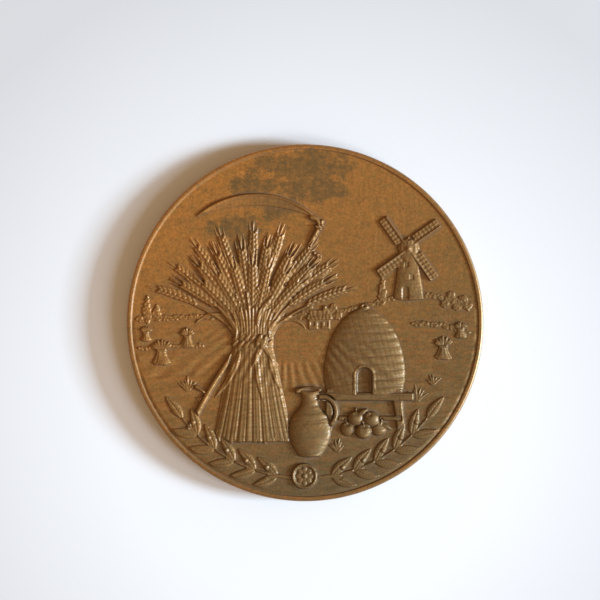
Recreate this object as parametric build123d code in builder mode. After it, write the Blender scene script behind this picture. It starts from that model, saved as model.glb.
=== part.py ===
import os
from math import cos, radians, sin

from build123d import *

# A commemorative medal: one struck bronze piece, a thick disc with a turned edge and a narrow raised
# rim on both faces. It lies on its reverse. The origin is the centre of the reverse, on the plane that
# the rim rests on, +Z comes out of the obverse, and +Y is the top of the picture.
# The obverse carries a harvest still life, raised from a sunk field: a bound sheaf with a scythe behind
# it, a straw beehive on a bench, apples, a jug, a windmill on a hill, and two laurel sprays along the rim.
# The reverse is plain. Lengths are in millimetres.

# The disc
medal_diameter = 60.0
rim_height = 3.6  # thickness of the medal at its rim
edge_round = 0.4  # radius of the turned corner between edge and rim
rim_flat = 0.25  # flat top of the rim
rim_slope = 0.3  # width of the rim's inner slope
obverse_sink = 0.25  # depth of the obverse field below the rim
reverse_sink = 0.25  # depth of the reverse field below its rim

# How far every raised form reaches into the disc, so that both are one body
root = 0.25

# The land: a far field with a hill, and the near ground in front of it
far_rise = 0.1
near_rise = 0.2

# The sheaf
tie_width = 6.4  # the bundle's width at its band
tie_rise = 1.15
band_length = 1.9  # the band's length along the bundle
band_swell = 0.18  # the band stands out by this much
skirt_length = 17.6  # from the band down to the cut ends
skirt_width = 13.4
skirt_rise = 0.85
stem_length = 11.4  # from the band up to where the longest ears begin
crown_length = 9.1  # from the band up to where the fan of stems ends
crown_width = 14.6
crown_rise = 0.95
rib_count = 9
rib_depth = 0.16
rib_edge = 0.35  # the outermost ribs' share of the rise
ear_length = 6.9
ear_width = 1.9
ear_rise = 1.05
ear_droop = 1.25  # an ear leans out this many times as far as its stem

# The scythe
shaft_width = 1.0
shaft_rise = 0.6
blade_length = 21.5
blade_bow = 4.4  # how far the blade's back stands off its chord
blade_width = 2.1
blade_turn = 178.0  # degrees from +X to the blade's chord
blade_rise = 0.5

# The beehive, on a bench
hive_width = 13.6
hive_height = 14.2
hive_rise = 1.25
coil_count = 9
coil_groove = 0.22
door_width = 2.6
door_height = 3.0
door_depth = 0.5
bench_width = 16.8
bench_top = 1.5  # thickness of the bench's board
bench_corner = 0.45
bench_height = 6.6
bench_rise = 0.75
leg_width = 1.7
leg_inset = 1.7  # from the board's end to the leg

# The jug
jug_width = 7.2
jug_height = 11.0
jug_rise = 1.22
handle_width = 0.95
handle_reach = 2.5  # from the handle's centre to its outer side
handle_height = 5.8
handle_rise = 0.8

# The apples under the bench
apple_width = 2.75
apple_rise = 0.85

# The windmill
mill_height = 8.4
mill_base = 5.2
mill_top = 3.2
mill_rise = 0.55
cap_height = 1.7
cap_width = 3.7
cap_ridge = 1.0
cap_rise = 0.66
sail_length = 6.6  # from the hub's centre to a sail's tip
sail_bare = 1.6  # from the hub's centre to where the sail's frame begins
sail_width = 1.5
sail_rise = 0.75
spar_width = 0.4
hub_width = 1.1
sail_turn = 35.0  # degrees from the horizontal to the first sail

# The trees, the cottage and the stooks in the fields
tree_rise = 0.3
poplar_height = 5.6
poplar_width = 1.6
bush_width = 2.8
cottage_width = 4.2
cottage_wall = 1.7
cottage_roof = 1.5
cottage_ridge = 2.9  # length of the roof's ridge
cottage_rise = 0.32
stook_height = 3.6
stook_width = 2.9
stook_neck = 1.2
stook_rise = 0.34

# The laurel sprays and the round boss between them
leaf_length = 4.8
leaf_width = 1.7
leaf_rise = 0.42
leaf_splay = 32.0  # degrees between a leaf and its stem
leaf_pairs = 5
spray_stem = 0.5
stem_rise = 0.35
spray_margin = 3.0  # from the rim's foot to the sprays' stems
spray_foot = 4.4  # degrees from the foot of the medal to where a stem begins
spray_start = 10.0  # degrees from the foot of the medal to the first pair of leaves
spray_step = 8.4  # degrees between pairs
berry_width = 0.9
berry_lag = 4.8  # degrees from a pair of leaves to its berry
boss_width = 4.4
boss_rise = 0.55
boss_ring = 0.5
boss_dish = 0.28  # depth of the boss's middle below its ring

medal_radius = medal_diameter / 2
rim_inner = medal_radius - edge_round - rim_flat
field_radius = rim_inner - rim_slope
field_z = rim_height - obverse_sink
skin = Plane.XY.offset(field_z - root)

# Places on the field, as shares of its radius
sheaf_place = (-0.30, -0.10)
scythe_foot = (-0.67, -0.62)
scythe_head = (0.10, 0.585)
hive_place = (0.345, -0.40)
jug_place = (0.03, -0.765)
mill_place = (0.60, 0.14)
cottage_place = (0.085, -0.035)
boss_place = (0.0, -0.885)


def on_field(place):
    return Vector(place[0] * field_radius, place[1] * field_radius, field_z)


def turned(length, angle):
    return Vector(length * cos(radians(angle)), length * sin(radians(angle)))


# A section stands across a heading, in degrees from +X. Its own X runs to the left of the heading and
# its own Y is up.
def across(point, heading):
    ahead = turned(1, heading)
    return Plane(origin=point, x_dir=(-ahead.Y, ahead.X, 0), z_dir=(ahead.X, ahead.Y, 0))


# One raised form, lofted through sections that each have a place, a heading, a width and a rise.
# kind is arc, ridge or ribs.
def lofted(sections, kind="arc"):
    with BuildPart() as form:
        for point, heading, width, rise in sections:
            with BuildSketch(across(point, heading)):
                with BuildLine():
                    left, right = (-width / 2, -root), (width / 2, -root)
                    if kind == "arc":
                        ThreePointArc(left, (0, rise), right)
                        Line(right, left)
                    elif kind == "ridge":
                        Polyline(left, (0, rise), right, close=True)
                    else:
                        Polyline(left, *rib_points(width, rise), right, close=True)
                make_face()
        loft(ruled=True)
    return form.part


def between(start, end, share):
    return start + (end - start) * share


# Ribs side by side under one bow, from left to right
def rib_points(width, rise):
    points = []
    for n in range(2 * rib_count - 1):
        share = (n + 1) / (2 * rib_count)
        bow = 1 - (2 * share - 1) ** 2
        groove = rib_depth if n % 2 else 0
        points.append((width * (share - 0.5), rise * between(rib_edge, 1, bow) - groove))
    return points


def straight(start, end, width, rise):
    run = end - start
    heading = Vector(1, 0, 0).get_signed_angle(run)
    return lofted([(start, heading, width, rise), (end, heading, width, rise)])


# A flat-topped form with the outline of a sketch
def plateau(sketch, rise):
    with BuildPart() as form:
        add(sketch)
        extrude(amount=root + rise)
    return form.part


def disc():
    with BuildPart() as blank:
        with BuildSketch(Plane.XZ):
            with BuildLine():
                Polyline(
                    (0, field_z),
                    (0, reverse_sink),
                    (field_radius, reverse_sink),
                    (rim_inner, 0),
                    (medal_radius - edge_round, 0),
                )
                RadiusArc(
                    (medal_radius - edge_round, 0), (medal_radius, edge_round), -edge_round
                )
                Line((medal_radius, edge_round), (medal_radius, rim_height - edge_round))
                RadiusArc(
                    (medal_radius, rim_height - edge_round),
                    (medal_radius - edge_round, rim_height),
                    -edge_round,
                )
                Polyline(
                    (medal_radius - edge_round, rim_height),
                    (rim_inner, rim_height),
                    (field_radius, field_z),
                    (0, field_z),
                )
            make_face()
        revolve(axis=Axis.Z)
    return blank.part


# The ground below a skyline, out to the foot of the rim's slope. The skyline's points are shares of the
# field's radius.
def ground(skyline, rise):
    reach = field_radius + rim_slope * rise / obverse_sink / 2
    with BuildSketch(skin) as outline:
        Circle(reach)
        with BuildSketch(skin, mode=Mode.PRIVATE) as sky:
            with BuildLine():
                far_side = [(x * field_radius, y * field_radius) for x, y in skyline]
                top = Spline(*far_side)
                Polyline(
                    top @ 1,
                    (far_side[-1][0], medal_radius),
                    (far_side[0][0], medal_radius),
                    top @ 0,
                )
            make_face()
        add(sky.sketch, mode=Mode.SUBTRACT)
    return plateau(outline.sketch, rise)


far_skyline = [(-1.2, 0.0), (-0.7, 0.03), (-0.1, 0.02), (0.25, 0.07), (0.62, 0.15), (1.2, 0.03)]
near_skyline = [(-1.2, -0.36), (-0.6, -0.30), (0.0, -0.38), (0.5, -0.33), (1.2, -0.42)]

# The sheaf, upwards and downwards from its band: share of the length, of the width and of the rise,
# each between the band's size and the end's
crown_sections = [(0.0, 0.0, 0.0), (0.35, 0.3, 0.3), (0.75, 0.8, 0.7), (1.0, 1.0, 1.0)]
skirt_sections = [(0.0, 0.0, 0.0), (0.3, 0.35, 0.3), (0.7, 0.75, 0.7), (1.0, 1.0, 1.0)]

# The ears, in three tiers: how many, the outermost one's lean in degrees, the stem's share of the
# longest stem, and the rise's share of the ear's
ear_tiers = [
    {"count": 9, "lean": 58, "stem": 1.0, "rise": 0.8},
    {"count": 8, "lean": 47, "stem": 0.76, "rise": 0.95},
    {"count": 7, "lean": 36, "stem": 0.5, "rise": 1.15},
]
# Along an ear: share of its length, of its width and of its rise
ear_sections = [(0.0, 0.35, 0.5), (0.3, 1.0, 1.0), (0.65, 0.9, 0.95), (1.0, 0.25, 0.4)]


def bundle(sections, length, end_width, end_rise, heading):
    placed = []
    for along, wide, high in sections:
        place = on_field(sheaf_place) + turned(along * length, heading)
        width = between(tie_width, end_width, wide)
        placed.append((place, heading, width, between(tie_rise, end_rise, high)))
    return lofted(placed, kind="ribs")


def ear(foot, heading, rise):
    sections = []
    for along, wide, high in ear_sections:
        place = foot + turned(along * ear_length, heading)
        sections.append((place, heading, wide * ear_width, high * rise))
    return lofted(sections)


def sheaf():
    forms = [
        bundle(crown_sections, crown_length, crown_width, crown_rise, 90),
        bundle(skirt_sections, skirt_length, skirt_width, skirt_rise, -90),
    ]
    place = on_field(sheaf_place)
    half = Vector(0, band_length / 2, 0)
    forms.append(
        straight(place - half, place + half, tie_width + 2 * band_swell, tie_rise + band_swell)
    )
    for tier in ear_tiers:
        for n in range(tier["count"]):
            lean = tier["lean"] * (2 * n / (tier["count"] - 1) - 1)
            foot = place + turned(tier["stem"] * stem_length, 90 - lean)
            forms.append(ear(foot, 90 - ear_droop * lean, tier["rise"] * ear_rise))
    return forms


def scythe():
    foot, head = on_field(scythe_foot), on_field(scythe_head)
    shaft = straight(foot, head, shaft_width, shaft_rise)
    with BuildSketch(skin) as outline:
        with BuildLine():
            heel = (head.X, head.Y)
            tip = head + turned(blade_length, blade_turn)
            SagittaArc(heel, (tip.X, tip.Y), -blade_bow)
            SagittaArc((tip.X, tip.Y), heel, blade_bow - blade_width)
        make_face()
    return [shaft, plateau(outline.sketch, blade_rise)]


# The hive's outline, upwards: share of its height and of its width
hive_sections = [
    (0.0, 0.94),
    (0.15, 1.0),
    (0.4, 0.97),
    (0.62, 0.84),
    (0.8, 0.63),
    (0.92, 0.4),
    (1.0, 0.12),
]


def hive_share(height):
    for (low, narrow), (high, wide) in zip(hive_sections, hive_sections[1:]):
        if height <= high:
            return between(narrow, wide, (height - low) / (high - low))
    return hive_sections[-1][1]


def beehive():
    foot = on_field(hive_place)
    sections = []
    for n in range(2 * coil_count + 1):
        height = n / (2 * coil_count)
        wide = hive_share(height)
        groove = 0 if n % 2 else coil_groove
        place = foot + Vector(0, height * hive_height, 0)
        width = wide * hive_width - 2 * groove
        sections.append((place, 90, width, wide**0.5 * hive_rise - groove))
    with BuildPart() as hive:
        add(lofted(sections))
        with BuildSketch(Plane.XY.offset(field_z + hive_rise - door_depth)):
            with Locations((foot.X, foot.Y + door_height / 2)):
                Rectangle(door_width, door_height)
            with Locations((foot.X, foot.Y + door_height)):
                Circle(door_width / 2)
        extrude(amount=hive_rise, mode=Mode.SUBTRACT)
    with BuildSketch(skin) as bench:
        with Locations((foot.X, foot.Y - bench_top / 2)):
            RectangleRounded(bench_width, bench_top, bench_corner)
        for side in (-1, 1):
            leg = foot.X + side * (bench_width / 2 - leg_inset - leg_width / 2)
            with Locations((leg, foot.Y - bench_height / 2)):
                Rectangle(leg_width, bench_height)
    return [hive.part, plateau(bench.sketch, bench_rise)]


# The jug, upwards: share of its height and of its width
jug_sections = [
    (0.0, 0.55),
    (0.12, 0.78),
    (0.38, 1.0),
    (0.6, 0.82),
    (0.78, 0.42),
    (0.9, 0.4),
    (1.0, 0.56),
]
# The centre of the jug's handle: share of the jug's width, right of its middle, and of its height
handle_place = (0.3, 0.66)


def jug():
    foot = on_field(jug_place)
    sections = []
    for high, wide in jug_sections:
        place = foot + Vector(0, high * jug_height, 0)
        sections.append((place, 90, wide * jug_width, wide**0.5 * jug_rise))
    body = lofted(sections)
    centre = foot + Vector(handle_place[0] * jug_width, handle_place[1] * jug_height)
    half = handle_height / 2
    with BuildSketch(skin) as grip:
        with Locations((centre.X, centre.Y)):
            Ellipse(handle_reach, half)
            Ellipse(handle_reach - handle_width, half - handle_width, mode=Mode.SUBTRACT)
    return [body, plateau(grip.sketch, handle_rise)]


# The apples' centres, as shares of the field's radius
apple_places = [(0.25, -0.61), (0.425, -0.607), (0.295, -0.549), (0.384, -0.552), (0.34, -0.624)]


def apples():
    radius = (apple_width**2 / 4 + apple_rise**2) / (2 * apple_rise)
    with BuildPart() as form:
        for place in apple_places:
            with Locations(on_field(place) + Vector(0, 0, apple_rise - radius)):
                Sphere(radius)
        with BuildSketch(skin):
            Circle(field_radius)
        extrude(amount=root + apple_rise, mode=Mode.INTERSECT)
    return form.part


def windmill():
    foot = on_field(mill_place)
    head = foot + Vector(0, mill_height, 0)
    tower = lofted([(foot, 90, mill_base, mill_rise), (head, 90, mill_top, mill_rise)])
    top = head + Vector(0, cap_height, 0)
    eaves = (head, 90, cap_width, cap_rise)
    ridge = (top, 90, cap_ridge, cap_rise / 2)
    with BuildSketch(skin) as sails:
        with Locations((head.X, head.Y)):
            Circle(hub_width / 2)
            with PolarLocations(0, 4, start_angle=sail_turn):
                with Locations((sail_length / 2, 0)):
                    Rectangle(sail_length, spar_width)
                with Locations(((sail_bare + sail_length) / 2, sail_width / 2)):
                    Rectangle(sail_length - sail_bare, sail_width)
    return [tower, lofted([eaves, ridge]), plateau(sails.sketch, sail_rise)]


# Trees on the horizon: share of the field's radius across and up, share of the poplar's height, or 0 for
# a round bush
trees = [
    {"x": -0.915, "y": 0.0, "poplar": 0.8},
    {"x": -0.855, "y": 0.01, "poplar": 0.5},
    {"x": 0.02, "y": 0.03, "poplar": 0.0},
    {"x": 0.16, "y": 0.03, "poplar": 0.0},
    {"x": 0.45, "y": 0.1, "poplar": 0.85},
    {"x": 0.84, "y": 0.1, "poplar": 0.0},
    {"x": 0.91, "y": 0.08, "poplar": 0.0},
]
# Stooks in the fields: share of the field's radius across and up, and share of a full-sized stook
stooks = [
    {"x": -0.83, "y": -0.23, "size": 1.0},
    {"x": -0.68, "y": -0.13, "size": 0.75},
    {"x": -0.92, "y": -0.1, "size": 0.6},
    {"x": 0.8, "y": -0.2, "size": 0.9},
    {"x": 0.9, "y": -0.08, "size": 0.65},
]


def horizon():
    place = on_field(cottage_place)
    with BuildSketch(skin) as woods:
        for tree in trees:
            foot = on_field((tree["x"], tree["y"]))
            with Locations((foot.X, foot.Y + tree["poplar"] * poplar_height / 2)):
                if tree["poplar"]:
                    Ellipse(poplar_width / 2, tree["poplar"] * poplar_height / 2)
                else:
                    Circle(bush_width / 2)
    with BuildSketch(skin) as cottage:
        with BuildLine():
            half, ridge = cottage_width / 2, cottage_ridge / 2
            eaves = place.Y + cottage_wall
            Polyline(
                (place.X - half, place.Y),
                (place.X + half, place.Y),
                (place.X + half, eaves),
                (place.X + ridge, eaves + cottage_roof),
                (place.X - ridge, eaves + cottage_roof),
                (place.X - half, eaves),
                close=True,
            )
        make_face()
    return [plateau(woods.sketch, tree_rise), plateau(cottage.sketch, cottage_rise)]


# A stook narrows to its tie and spreads again into its ears: share of the height, of the width
stook_sections = [(0.0, 1.0), (0.6, 0.0), (0.68, 0.0), (1.0, 0.85)]


def field_stooks():
    forms = []
    for stook in stooks:
        size = stook["size"]
        sections = []
        for high, wide in stook_sections:
            place = on_field((stook["x"], stook["y"])) + Vector(0, high * size * stook_height, 0)
            width = size * between(stook_neck, stook_width, wide)
            sections.append((place, 90, width, stook_rise))
        forms.append(lofted(sections))
    return forms


# Along a leaf: share of its length, of its width and of its rise
leaf_sections = [(0.0, 0.12, 0.4), (0.4, 1.0, 1.0), (1.0, 0.08, 0.3)]


def leaf(foot, heading):
    sections = []
    for along, wide, high in leaf_sections:
        place = foot + turned(along * leaf_length, heading)
        sections.append((place, heading, wide * leaf_width, high * leaf_rise))
    return lofted(sections, kind="ridge")


# Two stems along the rim from the foot of the medal, with pairs of leaves, a berry beside each pair on
# the inner side, and a leaf at the end
def sprays():
    forms = []
    stem_radius = field_radius - spray_margin
    last = spray_start + leaf_pairs * spray_step
    with BuildPart() as berries:
        for side in (-1, 1):
            for n in range(leaf_pairs):
                angle = -90 + side * (spray_start + n * spray_step + berry_lag)
                with Locations(turned(stem_radius - berry_width, angle) + Vector(0, 0, field_z)):
                    Sphere(berry_width / 2)
    forms.append(berries.part)
    for side in (-1, 1):
        for n in range(leaf_pairs):
            angle = -90 + side * (spray_start + n * spray_step)
            foot = turned(stem_radius, angle) + Vector(0, 0, field_z)
            onward = angle + side * 90
            for turn in (-leaf_splay, leaf_splay):
                forms.append(leaf(foot, onward + turn))
        end = -90 + side * last
        forms.append(leaf(turned(stem_radius, end) + Vector(0, 0, field_z), end + side * 90))
        first = -90 + side * spray_foot
        with BuildSketch(skin) as stem:
            with BuildLine():
                CenterArc((0, 0), stem_radius, first, end - first)
                offset(amount=spray_stem / 2, side=Side.BOTH)
            make_face()
        forms.append(plateau(stem.sketch, stem_rise))
    return forms


def boss():
    centre = on_field(boss_place)
    with BuildPart() as form:
        with BuildSketch(skin):
            with Locations((centre.X, centre.Y)):
                Circle(boss_width / 2)
        extrude(amount=root + boss_rise)
        with BuildSketch(Plane.XY.offset(field_z + boss_rise)):
            with Locations((centre.X, centre.Y)):
                Circle(boss_width / 2 - boss_ring)
        extrude(amount=-boss_dish, mode=Mode.SUBTRACT)
    return form.part


# The picture ends at the foot of the rim's slope
with BuildPart() as picture:
    add(horizon())
    add(field_stooks())
    add(windmill())
    add(scythe())
    add(sheaf())
    add(beehive())
    add(apples())
    add(jug())
    add(sprays())
    add(boss())
    Cylinder(field_radius, medal_diameter, mode=Mode.INTERSECT)

with BuildPart() as medal:
    add(disc())
    add(ground(far_skyline, far_rise))
    add(ground(near_skyline, near_rise))
    add(picture.part)

medal.part.label = "medal"
os.makedirs("parts", exist_ok=True)
export_step(medal.part, "parts/medal.step")
print("solids", len(medal.part.solids()), "volume", round(medal.part.volume, 1), "mm3")
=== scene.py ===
# Round bronze table medal lying on its back: turned rim, raised harvest picture, aged brown patina
import math

import bmesh
import bpy
import numpy as np
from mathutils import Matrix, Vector


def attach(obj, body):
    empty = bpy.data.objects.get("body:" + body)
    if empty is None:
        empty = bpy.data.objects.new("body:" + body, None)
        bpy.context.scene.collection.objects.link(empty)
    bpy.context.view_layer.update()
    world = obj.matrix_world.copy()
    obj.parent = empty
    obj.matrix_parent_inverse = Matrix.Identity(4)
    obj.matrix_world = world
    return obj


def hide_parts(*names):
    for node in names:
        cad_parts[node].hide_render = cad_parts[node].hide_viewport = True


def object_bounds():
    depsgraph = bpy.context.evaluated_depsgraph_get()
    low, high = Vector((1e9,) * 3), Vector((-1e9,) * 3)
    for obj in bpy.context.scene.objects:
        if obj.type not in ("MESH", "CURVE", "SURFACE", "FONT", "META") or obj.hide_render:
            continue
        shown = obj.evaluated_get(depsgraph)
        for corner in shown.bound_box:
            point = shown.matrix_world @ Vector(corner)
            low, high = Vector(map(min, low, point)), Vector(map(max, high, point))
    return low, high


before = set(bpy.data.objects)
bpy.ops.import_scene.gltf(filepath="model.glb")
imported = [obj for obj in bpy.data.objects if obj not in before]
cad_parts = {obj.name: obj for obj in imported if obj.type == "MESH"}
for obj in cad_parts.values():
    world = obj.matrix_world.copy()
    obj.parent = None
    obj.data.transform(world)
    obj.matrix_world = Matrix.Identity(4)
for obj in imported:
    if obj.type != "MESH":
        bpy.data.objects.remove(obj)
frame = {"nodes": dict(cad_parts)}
cadLow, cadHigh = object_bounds()
print("frame loaded:", ", ".join(frame["nodes"]))

mm = 0.001  # lengths are in millimetres until they become a mesh

# The disc, turned and struck
blank = {
    "rimHeight": 3.6,
    "edgeRound": 0.4,
    "rimFlat": 0.25,
    "rimSlope": 0.3,
    "obverseSink": 0.25,
    "reverseSink": 0.25,
    "fieldCells": 250,  # cells across the field
    # up the rim's inner slope: share across, share of the height and wear
    "slopeRows": [(0.14, 0.05, 0.0), (0.32, 0.36, 0.0), (0.56, 0.82, 0.05), (0.7, 0.97, 0.1)],
    # dirt with painted shade at the foot of the rim's inner slope
    "slopeDirtAndShade": 0.42,
    "edgeDull": 0.3,
    "edgeWaves": 14,  # the turned edge isn't quite true
    "edgeSeed": 71,
    "backRings": [0.99, 0.9, 0.7, 0.45, 0.2],
}
medalRadius = (cadHigh.x - cadLow.x) / 2 / mm
rimInner = medalRadius - blank["edgeRound"] - blank["rimFlat"]
fieldRadius = rimInner - blank["rimSlope"]
fieldZ = blank["rimHeight"] - blank["obverseSink"]
reliefTop = cadHigh.z / mm - fieldZ  # no form stands higher than this above the field

# The camera looks down at the picture, leaning a little to its right
cameraView = {
    "lean": 2.5,  # degrees from upright, towards the right
    "distance": 600.0,
    "lens": 214.5,
    "aim": (-0.755, 3.83),  # the point of the picture that is in the image's centre
    "sensor": 36,
}


def addObject(name, data):
    added = bpy.data.objects.new(name, data)
    bpy.context.collection.objects.link(added)
    return added


def placeCamera():
    lean = math.radians(cameraView["lean"])
    aim = Vector((cameraView["aim"][0], cameraView["aim"][1], blank["rimHeight"])) * mm
    data = bpy.data.cameras.new("medalCamera")
    data.lens = cameraView["lens"]
    data.sensor_width = cameraView["sensor"]
    data.clip_start = 0.01
    camera = addObject("medalCamera", data)
    camera.location = aim + Vector((math.sin(lean), 0, math.cos(lean))) * cameraView["distance"] * mm
    camera.rotation_euler = (0, lean, 0)
    bpy.context.scene.camera = camera


placeCamera()
print("camera placed")

# The sheet of heights on which the relief is modelled, above the ground under each form
sheet = {
    "step": 0.068,
    "dip": 0.15,  # every form goes on down to this depth below the ground, so it grows out of it
    "edge": 0.12,  # width over which a form's outline falls
    "softening": 3,  # passes of a light blur, as the striking leaves it
    "underside": 0.25,  # depth below the field to which each form's body reaches
}
sheetLines = 2 * int(fieldRadius / sheet["step"]) + 1
sheetAxis = (np.arange(sheetLines) - sheetLines // 2) * sheet["step"]
gridX, gridY = np.meshgrid(sheetAxis, sheetAxis)
gridRadius = np.hypot(gridX, gridY)


def newLayer():
    return np.full(gridX.shape, -sheet["dip"])


# The part of the sheet round some points
def windowOver(xs, ys, margin):
    cuts = []
    for values in (ys, xs):
        first = int((np.min(values) - margin - sheetAxis[0]) / sheet["step"])
        last = int((np.max(values) + margin - sheetAxis[0]) / sheet["step"]) + 2
        cuts.append(slice(max(0, first), max(0, min(sheetLines, last))))
    return tuple(cuts)


def windowAt(place, reach):
    return windowOver([place[0]], [place[1]], reach)


# The part above a foot, with the distances from the foot
def faceOver(foot, wide, high, margin):
    window = windowOver([foot[0] - wide / 2, foot[0] + wide / 2], [foot[1], foot[1] + high], margin)
    return window, gridX[window] - foot[0], gridY[window] - foot[1]


# Distances along a heading and to its left, from a place
def alongFrom(window, place, heading):
    dx, dy = gridX[window] - place[0], gridY[window] - place[1]
    c, s = math.cos(math.radians(heading)), math.sin(math.radians(heading))
    return dx * c + dy * s, dy * c - dx * s


def spotOver(place, reach, heading=0):
    window = windowAt(place, reach)
    return window, *alongFrom(window, place, heading)


def onField(share):
    return np.array(share) * fieldRadius


def moved(place, across, up):
    return place + np.array([across, up])


def step2d(length, heading):
    return length * np.array([math.cos(math.radians(heading)), math.sin(math.radians(heading))])


def between(start, end, share):
    return start + (end - start) * share


def clamped(values):
    return np.clip(values, 0, 1)


# 1 on a line and 0 past a distance from it
def ridge(away, reach):
    return clamped(1 - np.abs(away) / reach)


# Distance inside all of several outlines
def within(*insets):
    return np.minimum.reduce(insets)


# Places across a row of things, from -1 to 1, in the given order
def placesInRow(order):
    return [2 * n / (len(order) - 1) - 1 for n in order]


def outerFirst(count):
    return sorted(placesInRow(range(count)), key=lambda across: -abs(across))


# A bow from start to end, drawn towards a third point
def bowedLine(start, towards, end, count):
    return [(1 - t) ** 2 * start + 2 * t * (1 - t) * towards + t * t * end for t in np.linspace(0, 1, count)]


# A smooth curve through given pairs
def smoothValue(pairs, at):
    shares, values = np.array(pairs, float).T
    slopes = np.gradient(values, shares)
    n = np.clip(np.searchsorted(shares, at) - 1, 0, len(shares) - 2)
    run = shares[n + 1] - shares[n]
    t = clamped((at - shares[n]) / run)
    return (
        values[n] * (1 + 2 * t) * (1 - t) ** 2
        + slopes[n] * run * t * (1 - t) ** 2
        + values[n + 1] * t * t * (3 - 2 * t)
        + slopes[n + 1] * run * t * t * (t - 1)
    )


# Soft random field with a bump about every sizeX by sizeY millimetres
def softNoise(seed, sizeX, sizeY=None):
    random = np.random.default_rng(seed)
    spots = []
    for size in (sizeY or sizeX, sizeX):
        place = (sheetAxis - sheetAxis[0]) / size
        cell = place.astype(int)
        part = place - cell
        spots.append((cell, part * part * (3 - 2 * part)))
    (rows, rowPart), (columns, columnPart) = spots
    coarse = random.uniform(-1, 1, (rows[-1] + 2, columns[-1] + 2))
    tall = between(coarse[rows], coarse[rows + 1], rowPart[:, None])
    return between(tall[:, columns], tall[:, columns + 1], columnPart[None, :])


# Each step works down the columns and turns the sheet over, so an even number leaves it upright
def blurred(heights, passes):
    for _ in range(2 * passes):
        padded = np.pad(heights, [(1, 1), (0, 0)], mode="edge")
        heights = ((padded[:-2] + 2 * padded[1:-1] + padded[2:]) / 4).T
    return heights


# Mean over a square of that reach, through running sums
def boxMean(heights, reach):
    n = max(1, int(reach / sheet["step"]))
    for _ in range(2):
        total = np.cumsum(np.pad(heights, [(n + 1, n), (0, 0)], mode="edge"), axis=0)
        heights = ((total[2 * n + 1:] - total[:-2 * n - 1]) / (2 * n + 1)).T
    return heights


# Rounded section: inset is the distance inside the outline, reach the inset where the top is flat
def swell(inset, reach, rise, roundness=0.55):
    share = clamped(inset / reach)
    return rise * (1 - (1 - share) ** 2) ** roundness


# Lays a form over what the layer already holds, with a clean outline
def lay(layer, window, inset, heights, edge=None):
    cover = clamped(inset / (edge or sheet["edge"]) + 0.5)
    layer[window] += cover * (heights - layer[window])


def carve(layer, window, inset, depth, edge=None):
    cover = clamped(inset / (edge or sheet["edge"]) + 0.5)
    layer[window] -= cover * depth


# Distance round a rounded face, for patterns that close up towards its sides
def roundFace(x, half, offset):
    return half * np.arcsin(offset) * np.sign(x)


def headingsAlong(heading, turn, count):
    return heading + turn * np.linspace(0, 1, count)


# Points along an even bend
def bentLine(start, heading, length, turn, count):
    turns = headingsAlong(heading, turn, count)
    middles = np.radians((turns[1:] + turns[:-1]) / 2)
    run = length / (count - 1)
    x = start[0] + np.concatenate([[0], np.cumsum(np.cos(middles) * run)])
    y = start[1] + np.concatenate([[0], np.cumsum(np.sin(middles) * run)])
    return np.column_stack([x, y])


# Distance inside a stroke along points, its half width and the offset to its left
def strokeInset(points, widths):
    points = np.asarray(points, float)
    widths = np.broadcast_to(widths, len(points)).astype(float)
    window = windowOver(points[:, 0], points[:, 1], widths.max() / 2 + 0.2)
    x, y = gridX[window], gridY[window]
    inset, half, offset = np.full(x.shape, -9.0), np.full(x.shape, 0.1), np.zeros(x.shape)
    for n in range(len(points) - 1):
        run = points[n + 1] - points[n]
        dx, dy = x - points[n][0], y - points[n][1]
        t = clamped((dx * run[0] + dy * run[1]) / (run @ run))
        away = np.hypot(dx - t * run[0], dy - t * run[1])
        wide = between(widths[n], widths[n + 1], t) / 2
        better = wide - away > inset
        inset = np.where(better, wide - away, inset)
        half = np.where(better, wide, half)
        offset = np.where(better, np.sign(run[0] * dy - run[1] * dx) * away, offset)
    return window, inset, np.maximum(half, 0.03), offset


# The height that a form lies at is a number or a whole layer
def liftIn(lift, window):
    return lift[window] if isinstance(lift, np.ndarray) else lift


def layStroke(layer, points, widths, rise, lift=0.0, roundness=0.5, groove=0.0):
    window, inset, half, offset = strokeInset(points, widths)
    heights = liftIn(lift, window) + swell(inset, half, rise, roundness)
    if groove:
        heights = heights - groove * ridge(offset, 0.1)
    lay(layer, window, inset, heights)


def layBend(layer, start, heading, length, turn, widths, rise, lift=0.0, roundness=0.5, groove=0.0):
    points = bentLine(start, heading, length, turn, len(widths))
    layStroke(layer, points, widths, rise, lift, roundness, groove)


# A leaf or grain: pointed at both ends, widest at belly, with a crease or a ridge along it
def layLeaf(layer, foot, heading, length, width, rise, lift=0.0, belly=0.42, crease=0.0, veins=0, bend=0.0):
    middle = foot + step2d(length / 2, heading)
    window = windowAt(middle, length / 2 + width)
    u, v = alongFrom(window, foot, heading)
    t = clamped(u / length)
    v = v - bend * length * t * (1 - t)
    half = width / 2 * np.sin(math.pi * t ** (math.log(0.5) / math.log(belly))) ** 0.8
    inset = np.where((u > 0) & (u < length), half - np.abs(v), -np.hypot(v, u - length * (u > length / 2)))
    swollen = swell(inset, np.maximum(half, 0.05), rise, 0.5)
    heights = liftIn(lift, window) + swollen * (0.45 + 0.55 * np.sin(math.pi * t) ** 0.5)
    if crease:
        heights = heights - crease * ridge(v, 0.14)
    if veins:
        comb = np.cos((u - 0.9 * np.abs(v)) * veins * 2 * math.pi / length)
        heights = heights + 0.02 * comb * clamped(inset / 0.2)
    lay(layer, window, inset, heights, 0.08)


def layDome(layer, place, wide, high, rise, lift=0.0, turn=0.0, roundness=0.5):
    window, u, v = spotOver(place, max(wide, high) / 2 + 0.3, turn)
    far = np.hypot(u / (wide / 2), v / (high / 2))
    heights = lift + rise * clamped(1 - far**2) ** roundness
    lay(layer, window, (1 - far) * min(wide, high) / 2, heights)


def layKnob(layer, place, size, rise, lift):
    layDome(layer, place, size, size, rise, lift)


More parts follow.
